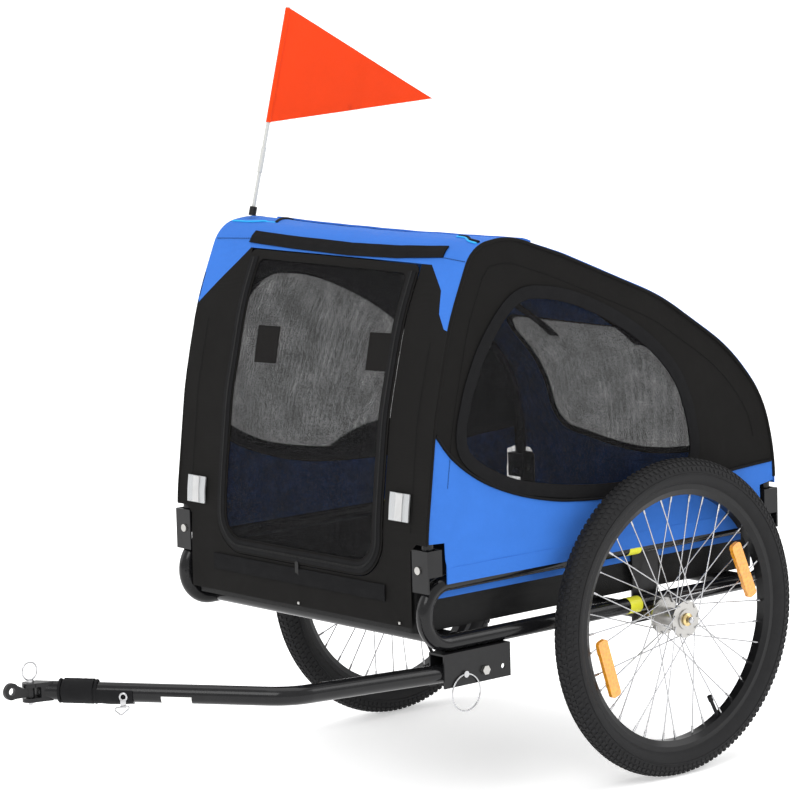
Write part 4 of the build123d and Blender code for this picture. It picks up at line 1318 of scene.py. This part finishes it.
@dataclass
class SidePanel:
    """One side's cloth: black above, blue below, with a mesh window."""

    side: Side
    shape: CabinShape
    finishes: Finishes
    grow: float = 0.0097
    low: float = 0.374
    front_low: float = -0.440
    rear_low: float = 0.236

    def piping_line(self) -> list[Point2]:
        """Line between black and blue cloth, as a smooth curve."""
        return spline_loop(self.shape.piping, closed=False)

    def window_line(self) -> list[Point2]:
        """Window's edge, as a smooth closed curve."""
        return spline_loop(self.shape.window)

    def split(self) -> tuple[list[Point2], list[Point2]]:
        """Outlines of the upper and lower cloth."""
        line = self.piping_line()
        whole = self.shape.side_outline(self.grow, self.shape.notch_z)
        seam = [p for p in line if inside(p, whole)]

        def above(point: Point2) -> bool:
            """Whether an outline point is above the piping."""
            for (a, b), (c, d) in zip(line, line[1:]):
                if a <= point[0] <= c:
                    return point[1] > b + (d - b) * (point[0] - a) / (c - a)
            return False

        upper = [p for p in whole if above(p)]
        front = [p for p in whole if not above(p) and p[0] < 0]
        rear = [p for p in whole if not above(p) and p[0] > 0]
        lower = [(self.front_low, self.low), (self.front_low, self.shape.notch_z)] + front
        lower += seam + rear + [(self.rear_low, self.shape.notch_z), (self.rear_low, self.low)]
        return upper + list(reversed(seam)), lower

    def ride(self, obj: bpy.types.Object, finish: str, slot: str | None = None) -> bpy.types.Object:
        """Dress a piece and let it fold with the hoop."""
        self.finishes.wear(obj, finish, slot)
        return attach(obj, f"{self.side.label}_frame")

    def build(self) -> None:
        """Make the side's cloth, window, piping, binding and seams."""
        label = self.side.label
        place = self.shape.side(self.side)
        window = self.window_line()
        upper, lower = self.split()
        relief = taut_relief(0.0030, 12.0 + self.side.value)
        upper_cut = Cut(upper, [window])
        top = cut_cloth(f"{label}_upper_cloth", upper, [window], place, relief=relief)
        self.ride(top, "black_fabric")
        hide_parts(f"{label}_side_upper")
        declare(top, upper_cut, "stretched")
        lower_cut = Cut(lower, [])
        base = cut_cloth(f"{label}_lower_cloth", lower, [], place, relief=relief)
        self.finishes.wear(base, "blue_fabric")
        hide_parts(f"{label}_side_lower")
        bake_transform(base)
        declare(base, lower_cut, "stretched")
        net = cut_cloth(f"{label}_window_net", window, [], place, step=0.014, thick=NET_GAUGE,
                        relief=lambda y, z: relief(y, z) * 1.6)
        self.ride(net, "black_mesh")
        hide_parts(f"{label}_window_mesh")
        binding = tape(f"{label}_window_binding", window, 0.020,
                       lambda y, z, lift: place(y, z, lift + relief(y, z)), 0.0012, thick=BINDING_GAUGE)
        self.ride(binding, "binding", "webbing")
        declare(net, Cut(window, []), "stretched")
        seam = [p for p in self.piping_line() if inside(p, self.shape.side_outline(self.grow, 0.35))]
        piping = tube(f"{label}_piping",
                      [place(y, z, 0.0014 + relief(y, z)) for y, z in thin_out(seam, 0.006)], 0.0024)
        self.ride(piping, "binding", "webbing")
        edge = thin_out(self.shape.side_outline(self.grow + 0.0018, self.shape.notch_z), 0.007)
        welt = tube(f"{label}_edge_welt", [place(y, z, 0.0004) for y, z in edge], 0.0030)
        self.ride(welt, "black_fabric")
        inner = [p for p in self.shape.side_outline(self.grow - 0.034, 0.50) if not inside(p, window)]
        rows = stitches(f"{label}_edge_seam", thin_out(inner, 0.02),
                        lambda y, z, lift: place(y, z, lift + relief(y, z)), 0.0010)
        self.ride(rows, "thread", "webbing")
        log.info("%s side made", label)


# ---------------------------------------------------------------- base


@dataclass
class Tub:
    """Coated cloth tub that hangs between the rails, and its lining."""

    shape: CabinShape
    finishes: Finishes
    half: float = 0.2635
    front: float = -0.4725
    rear: float = 0.2575
    low: float = 0.2862
    high: float = 0.3570
    corner: float = 0.014

    def build(self) -> None:
        """Loft the tub from rounded rings down its wall and across its floor."""
        rings: list[list[Vector]] = []
        levels = 9
        centre_y = (self.front + self.rear) / 2 + self.shape.axle_y
        half_y = (self.rear - self.front) / 2

        def ring(z: float) -> list[Vector]:
            """Rounded rectangle of wall points at a height."""
            loop = rounded_loop(rectangle((-self.half, -half_y), (self.half, half_y)),
                                [self.corner] * 4, turns=6)
            return [Vector((x, y + centre_y, z)) for x, y in resample(loop, 0.016)]

        count = len(ring(0.0))
        for level in range(levels + 1):
            share = level / levels
            z = self.high + (self.low - self.high) * share
            row = ring(z)
            for point in row:
                pull = noise.noise(Vector((point.x * 11, point.y * 11, 5.0 + z * 25)))
                sag = 0.0016 * sin(pi * share) * pull
                away = Vector((point.x, point.y - centre_y, 0)).normalized()
                point -= away * (0.0016 + abs(sag))
            rings.append(row)
        for step in range(1, 9):
            share = step / 8
            row = []
            for point in ring(self.low):
                flat = Vector((point.x, point.y - centre_y, 0)) * (1 - share)
                row.append(Vector((flat.x, flat.y + centre_y, self.low)))
            rings.append(row)
        points = [p for row in rings for p in row]
        faces = []
        for index in range(len(rings) - 1):
            for k in range(count):
                a, b = index * count + k, index * count + (k + 1) % count
                faces.append((a, b, b + count, a + count))
        tub = mesh_piece("tub_cloth", points, faces)
        turn_outwards(tub, merge=1e-5)
        modify(tub, "SOLIDIFY", thickness=CLOTH_GAUGE, offset=-1.0)
        smooth(tub, 50)
        self.finishes.wear(tub, "coated_fabric")
        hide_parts("tub")
        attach(tub, "chassis")
        wall = self.high - self.low
        flat = (2 * self.half + 2 * wall, 2 * half_y + 2 * wall)
        for side in Side:
            strip = rounded_block(f"{side.label}_lining_edge",
                                  (side.value * 0.2652, centre_y, 0.3395), (0.0012, 0.66, 0.011), 0.0005)
            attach(self.finishes.wear(strip, "blue_fabric"), "chassis")


@dataclass
class Wheel:
    """One wheel's tyre, valve and reflector clips."""

    side: Side
    finishes: Finishes
    axle: tuple[float, float] = (0.37875, 0.250)
    track: float = 0.336
    section: float = 0.0212
    seat: float = 0.227
    wall: float = 0.0035
    tread: float = 0.0230
    count: int = 148
    valve_turn: float = 152.0
    bead_angle: float = 146.0
    REFLECTORS: ClassVar[dict[Side, tuple[Point2, ...]]] = {
        Side.LEFT: ((radians(67), 0.148), (radians(252), 0.171)),
        Side.RIGHT: ((radians(80), 0.148), (radians(265), 0.171)),
    }

    def on_tyre(self, across: float, out: float, turn: float) -> Vector:
        """Point on the tyre: angle across its section, distance from its core, angle round the axle."""
        radius = self.seat + out * cos(across)
        return Vector((self.side.value * (self.track + out * sin(across)),
                       self.axle[0] + radius * sin(turn), self.axle[1] + radius * cos(turn)))

    def tyre(self) -> None:
        """Lathe the carcass and set the tread's rows of blocks on it."""
        edge = radians(self.bead_angle)
        steps = 22
        outer = [-edge + 2 * edge * k / steps for k in range(steps + 1)]
        sign = self.side.value
        inner = self.section - self.wall
        profile = [(sign * self.section * sin(a), self.seat + self.section * cos(a)) for a in outer]
        profile += [(sign * inner * sin(a), self.seat + inner * cos(a)) for a in reversed(outer)]
        centre = Vector((self.side.value * self.track, self.axle[0], self.axle[1]))
        carcass = lathe(f"{self.side.label}_tyre_carcass", profile, centre, steps=96)
        # Angle across the section, half width, shift in blocks and share of the pitch filled.
        rows = (
            (0.0, 0.16, 0.0, 0.60), (0.40, 0.15, 0.5, 0.66), (-0.40, 0.15, 0.5, 0.66),
            (0.80, 0.17, 0.0, 0.62), (-0.80, 0.17, 0.0, 0.62),
            (1.22, 0.15, 0.5, 0.42), (-1.22, 0.15, 0.5, 0.42),
        )
        points: list[Vector] = []
        faces: list[tuple[int, ...]] = []
        for middle, half, stagger, share in rows:
            skew = 0.35 if middle > 0 else -0.35
            for number in range(self.count):
                turn = 2 * pi * (number + stagger) / self.count
                long = pi / self.count * share
                start = len(points)
                top = self.tread if abs(middle) < 1 else self.section + 0.0013
                for out, size in ((self.section - 0.0006, 1.0), (top, 0.78)):
                    for a, b in BLOCK_CORNERS:
                        lean = skew * long * a if middle else 0.0
                        points.append(self.on_tyre(middle + half * a * size, out,
                                                   turn + long * b * size + lean))
                faces += block_faces(start)
        tread = turn_outwards(mesh_piece(f"{self.side.label}_tyre_tread", points, faces))
        for offset in (1.55, -1.55):
            bead = [self.on_tyre(offset, self.section + 0.0003, 2 * pi * k / 120) for k in range(120)]
            rib = tube(f"{self.side.label}_tyre_rib_{'outer' if offset > 0 else 'inner'}", bead, 0.0008,
                       closed=True, resolution=1)
            self.fit(rib, "tyre_rubber")
        self.fit(tread, "tyre_rubber")
        self.fit(carcass, "tyre_rubber")
        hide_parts(f"{self.side.label}_tyre")

    def fit(self, obj: bpy.types.Object, finish: str) -> bpy.types.Object:
        """Dress a piece and let it turn with the wheel."""
        self.finishes.wear(obj, finish)
        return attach(obj, f"{self.side.label}_wheel")

    def on_disc(self, radius: float) -> Vector:
        """Point on the wheel's middle plane along the valve's line."""
        turn = radians(self.valve_turn)
        return Vector((self.side.value * self.track, self.axle[0] + radius * sin(turn),
                       self.axle[1] + radius * cos(turn)))

    def valve(self) -> None:
        """Rubber valve stem with its cap, standing in from the rim."""
        stem = [self.on_disc(r) for r in (0.196, 0.190, 0.184, 0.170, 0.164)]
        piece = tube(f"{self.side.label}_valve_stem", stem, 0.0030)
        self.fit(piece, "tyre_rubber")
        cap = tube(f"{self.side.label}_valve_cap", [self.on_disc(r) for r in (0.1655, 0.1560)], 0.0040)
        self.fit(modify(cap, "BEVEL", width=0.0008, segments=2), "moulded_black")

    def clips(self) -> None:
        """Moulded posts behind the reflectors that grip the spokes."""
        for number, (turn, radius) in enumerate(self.REFLECTORS[self.side]):
            for share in (-0.028, 0.028):
                post = Vector((self.side.value * (self.track + 0.0105),
                               self.axle[0] + radius * sin(turn) + share * cos(turn),
                               self.axle[1] + radius * cos(turn) - share * sin(turn)))
                turned = Matrix.Rotation(-turn, 4, "X")
                clip = rounded_block(f"{self.side.label}_clip_{number + 1}_{'low' if share < 0 else 'high'}",
                                     post, (0.008, 0.010, 0.012), 0.0015, turned)
                self.fit(clip, "amber_lens")

    def build(self) -> None:
        """Make the wheel's detailed pieces."""
        self.tyre()
        self.valve()
        self.clips()
        log.info("%s wheel made", self.side.label)


@dataclass
class Nose:
    """Soft and small parts on the drawbar's nose: wrap, tail, eyelet and label."""

    finishes: Finishes
    shape: CabinShape
    bend: tuple[float, float, float] = (0.2845, -0.737, 0.239)
    tip: tuple[float, float, float] = (0.0, -0.972, 0.246)
    wrap_back: float = 0.088
    layers: float = 2.1
    tail_length: float = 0.062
    eyelet_back: float = 0.039
    label_back: float = 0.142
    label_length: float = 0.045

    def build(self) -> None:
        """Make the wrap, its folds, tail, eyelet, wire ring and the blank label."""
        bend, nose = (Vector((x, y + self.shape.axle_y, z)) for x, y, z in (self.bend, self.tip))
        run = (nose - bend).normalized()
        up = Vector((0, 0, 1))
        out = run.cross(up).normalized()
        up = out.cross(run).normalized()
        start = nose - run * self.wrap_back

        def round_bar(length: float, angle: float, radius: float) -> Vector:
            """Point round the drawbar at a length from the wrap's start."""
            return start + run * length + (out * cos(angle) + up * sin(angle)) * radius

        turns, across = 48, 10
        points = []
        for k in range(turns * 2 + 1):
            wound = self.layers * k / (turns * 2)
            angle = 2 * pi * wound + 0.6
            radius = 0.0146 + 0.0018 * wound
            for j in range(across + 1):
                share = j / across
                pucker = 0.0004 * noise.noise(Vector((share * 9, angle * 2.4, 2.0)))
                points.append(round_bar(0.008 + 0.046 * share, angle, radius + pucker))
        wrap = mesh_piece("safety_strap_wrap", points, grid_faces(turns * 2, across))
        modify(wrap, "SOLIDIFY", thickness=0.0011, offset=0.0)
        smooth(wrap, 50)
        self.finishes.wear(wrap, "webbing")
        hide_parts("safety_strap")
        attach(wrap, "drawbar")
        for number, place in enumerate((0.004, 0.058)):
            ring = [round_bar(place, 2 * pi * k / 40, 0.0158 + 0.0005 * sin(3 * k)) for k in range(40)]
            cuff = tube(f"strap_cuff_{number + 1}", ring, 0.0022, closed=True)
            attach(self.finishes.wear(cuff, "webbing"), "drawbar")
        middle = bend + run * self.label_back
        label_points = []
        for k in range(13):
            angle = radians(188 + 68 * k / 12)
            for j in (0.0, 1.0):
                label_points.append(middle + run * self.label_length * j
                                    + (out * cos(angle) + up * sin(angle)) * 0.01415)
        label = mesh_piece("drawbar_blank_label", label_points, grid_faces(12, 1))
        modify(label, "SOLIDIFY", thickness=0.0003, offset=0.0)
        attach(self.finishes.wear(smooth(label), "white_label", "yellow_band"), "drawbar")
        self.tail(round_bar, run, up, out)
        log.info("nose made")

    def tail(self, round_bar: Callable[[float, float, float], Vector], run: Vector, up: Vector,
             out: Vector) -> None:
        """Make the wrap's loose tail with its eyelet, tab and bent wire ring.

        Args:
            round_bar: Gives a point round the drawbar.
            run: Direction along the drawbar to its nose.
            up: Direction square to the drawbar, upwards.
            out: Direction square to the drawbar, to its far side.
        """
        points = []
        rows, columns = 14, 12
        for k in range(rows + 1):
            share = k / rows
            length = 0.010 - self.tail_length * share
            droop = 0.0016 * sin(pi * share) + 0.0008 * noise.noise(Vector((share * 6, 1.0, 4.0)))
            for j in range(columns + 1):
                angle = radians(158 + 118 * j / columns)
                points.append(round_bar(length, angle, 0.0158 + droop * j / columns))
        strip = mesh_piece("strap_tail", points, grid_faces(rows, columns))
        modify(strip, "SOLIDIFY", thickness=0.0016, offset=0.0)
        smooth(strip, 50)
        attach(self.finishes.wear(strip, "webbing"), "drawbar")
        eye = round_bar(-self.eyelet_back, radians(190), 0.0178)
        near = -out
        turn = Matrix((run, up, near)).transposed().to_4x4()
        circle = [eye + (run * cos(2 * pi * k / 28) + up * sin(2 * pi * k / 28)) * 0.0050 for k in range(28)]
        metal = [tube("strap_eyelet", circle, 0.0017, closed=True)]
        metal.append(rounded_block("strap_tab", eye - up * 0.010 + near * 0.0010, (0.0085, 0.013, 0.0016),
                                   0.0006, turn))
        corners = [(0.015, -0.017), (-0.016, -0.011), (0.003, -0.027)]
        loop = rounded_loop(corners, [0.0026] * 3, turns=6)
        wire = [eye + run * u + up * v + near * 0.0030 for u, v in loop]
        metal.append(tube("strap_wire_ring", wire, 0.0012, closed=True))
        for piece in metal:
            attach(self.finishes.wear(piece, "chrome_steel", "zinc_steel"), "drawbar")


@dataclass
class Flag:
    """Pennant with a hem sleeve on its pole."""

    finishes: Finishes
    shape: CabinShape
    x: float = -0.274
    base: Point2 = (-0.326, 0.872)
    lean: float = 15.0
    start: float = 0.151
    hoist: float = 0.186
    reach: float = 0.348
    drop: float = 0.074
    sleeve: float = 0.0036

    def build(self) -> None:
        """Cut the pennant and roll its hem sleeve."""
        along = Vector((sin(radians(self.lean)), cos(radians(self.lean))))
        foot = Vector(self.base)
        low = foot + along * self.start
        high = foot + along * (self.start + self.hoist)
        tip = Vector((low.x + self.sleeve + self.reach, (low.y + high.y) / 2 - self.drop))

        def place(y: float, z: float, lift: float) -> Vector:
            """Point on the pennant, with a slight wave away from the pole."""
            share = max(0.0, (Vector((y, z)) - low).dot(Vector((along.y, -along.x)))) / self.reach
            wave = 0.0010 * sin(share * 7.0)
            return Vector((self.x + wave * share + lift, y + self.shape.axle_y, z))

        gap = self.sleeve
        outline = [(low.x + gap * 0.8, low.y), (high.x + gap * 0.8, high.y), tuple(tip)]
        cut = Cut(outline, [])
        cloth = cut_cloth("pennant", outline, [], place, step=0.010, thick=0.0006)
        self.finishes.wear(cloth, "flag_fabric")
        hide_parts("flag_cloth")
        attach(cloth, "flag")
        line = [low.lerp(high, k / 8) for k in range(9)]
        sleeve = tube("pennant_sleeve", [Vector((self.x, p.x + self.shape.axle_y, p.y)) for p in line],
                      self.sleeve + 0.0004)
        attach(self.finishes.wear(sleeve, "flag_fabric"), "flag")
        declare(cloth, cut, "hung")
        log.info("flag made")


# ---------------------------------------------------------------- finishing


class Carried:
    """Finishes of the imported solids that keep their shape."""

    SURFACES: dict[str, str] = {
        "front_cross_tube": "black_tube", "rear_cross_tube": "black_tube", "axle_beam": "black_tube",
        "corner_brackets": "black_plate", "hinge_rivets": "zinc_steel", "drawbar_channel": "black_plate",
        "pivot_bolt": "zinc_steel", "rail_bands": "yellow_band", "floor_board": "floor_panel",
        "flag_socket": "moulded_black", "side_skirts": "blue_fabric", "drawbar_tube": "black_tube",
        "nose_fork": "black_plate",
        "ring_pin": "chrome_steel", "hitch_plate": "black_plate", "hitch_pin": "chrome_steel",
        "zipper_pull": "moulded_black", "flag_pole": "fibreglass",
    }
    SIDES: dict[str, str] = {
        "base_loop": "black_tube", "axle_plate": "black_plate", "stub_axle": "brass",
        "rim": "black_rim", "spokes": "chrome_steel", "hub": "zinc_steel", "bearings": "chrome_steel",
        "reflectors": "amber_lens", "release_button": "chrome_steel", "hoop": "black_tube",
        "cross_bar": "black_tube",
    }

    def __init__(self, finishes: Finishes, nodes: dict[str, bpy.types.Object]) -> None:
        """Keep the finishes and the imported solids."""
        self.finishes = finishes
        self.nodes = nodes

    def paint(self) -> None:
        """Give each kept solid its finish, in its own material slots."""
        names = dict(self.SURFACES)
        for side in Side:
            names.update({f"{side.label}_{part}": finish for part, finish in self.SIDES.items()})
        for name, finish in names.items():
            obj = self.nodes[name]
            material = self.finishes.get(finish)
            if not obj.material_slots:
                obj.data.materials.append(material)
            for place in obj.material_slots:
                place.material = material
        log.info("%d kept solids painted", len(names))


@dataclass
class Studio:
    """Pale floor, soft lights and the camera."""

    station: tuple[float, float, float] = (4.537, -3.83725, 1.458)
    yaw: float = 0.854
    pitch: float = 0.143
    roll: float = -0.027
    lens: float = 174.87
    sensor: float = 36.0
    LIGHTS: ClassVar[tuple[tuple[Any, ...], ...]] = (
        ("key", (2.6, -3.4, 3.6), (0, 0, 0.4), 2.6, 95.0),
        ("fill", (-3.6, -2.6, 2.4), (0, 0, 0.5), 3.0, 32.0),
        ("top", (0.3, 0.6, 4.2), (0, 0, 0.4), 3.4, 55.0),
        ("rim", (2.6, 3.6, 2.6), (0, 0.2, 0.5), 2.2, 40.0),
    )

    def camera(self) -> None:
        """Place the camera by its yaw, pitch and roll."""
        ahead = Vector((-sin(self.yaw) * cos(self.pitch), cos(self.yaw) * cos(self.pitch), -sin(self.pitch)))
        right = Vector((cos(self.yaw), sin(self.yaw), 0.0))
        up = right.cross(ahead)
        right, up = (right * cos(self.roll) + up * sin(self.roll),
                     up * cos(self.roll) - right * sin(self.roll))
        data = bpy.data.cameras.new("camera")
        data.lens = self.lens
        data.sensor_width = self.sensor
        data.clip_end = 60.0
        obj = bpy.data.objects.new("camera", data)
        matrix = Matrix((right, up, -ahead)).transposed().to_4x4()
        obj.matrix_world = Matrix.Translation(Vector(self.station)) @ matrix
        bpy.context.scene.collection.objects.link(obj)
        bpy.context.scene.camera = obj

    def floor(self) -> None:
        """Add the pale floor."""
        clear_selection()
        bpy.ops.mesh.primitive_plane_add(size=60.0, location=(0, 0, 0))
        floor = bpy.context.view_layer.objects.active
        floor.name = "floor"
        shader = Shader("pale_floor")
        shader.feed(Base_Color=shader.tint(shader.cloud(0.7), (0.90, 0.90, 0.90), (0.94, 0.94, 0.94)))
        shader.fix(Roughness=0.9, Emission_Color=(1.0, 1.0, 1.0, 1.0), Emission_Strength=0.4)
        floor.data.materials.append(shader.material)

    def area_light(self, name: str, place: Any, aim: Any, size: float, power: float) -> None:
        """Add a soft square light aimed at a point."""
        data = bpy.data.lights.new(name, "AREA")
        data.size = size
        data.energy = power
        obj = bpy.data.objects.new(name, data)
        obj.location = place
        obj.rotation_euler = (Vector(aim) - Vector(place)).to_track_quat("-Z", "Y").to_euler()
        bpy.context.scene.collection.objects.link(obj)

    def build(self) -> None:
        """Make the studio."""
        self.camera()
        self.floor()
        for light in self.LIGHTS:
            self.area_light(*light)
        world = bpy.data.worlds.new("studio")
        world.use_nodes = True
        sky = world.node_tree.nodes["Background"]
        sky.inputs["Color"].default_value = (1.0, 1.0, 1.0, 1.0)
        sky.inputs["Strength"].default_value = 1.0
        bpy.context.scene.world = world
        bpy.context.scene.view_settings.view_transform = "Standard"
        log.info("studio made")


def main() -> None:
    """Build the trailer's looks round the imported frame."""
    logging.basicConfig(level=logging.INFO, format="%(message)s")
    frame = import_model()
    finishes = Finishes()
    shape = CabinShape()
    Carried(finishes, frame["nodes"]).paint()
    Studio().build()
    cover = Cover(shape, finishes)
    cover.build()
    Door(cover, finishes).build()
    for side in Side:
        SidePanel(side, shape, finishes).build()
        Wheel(side, finishes).build()
    Tub(shape, finishes).build()
    Nose(finishes, shape).build()
    Flag(finishes, shape).build()


if __name__ == "__main__":
    main()
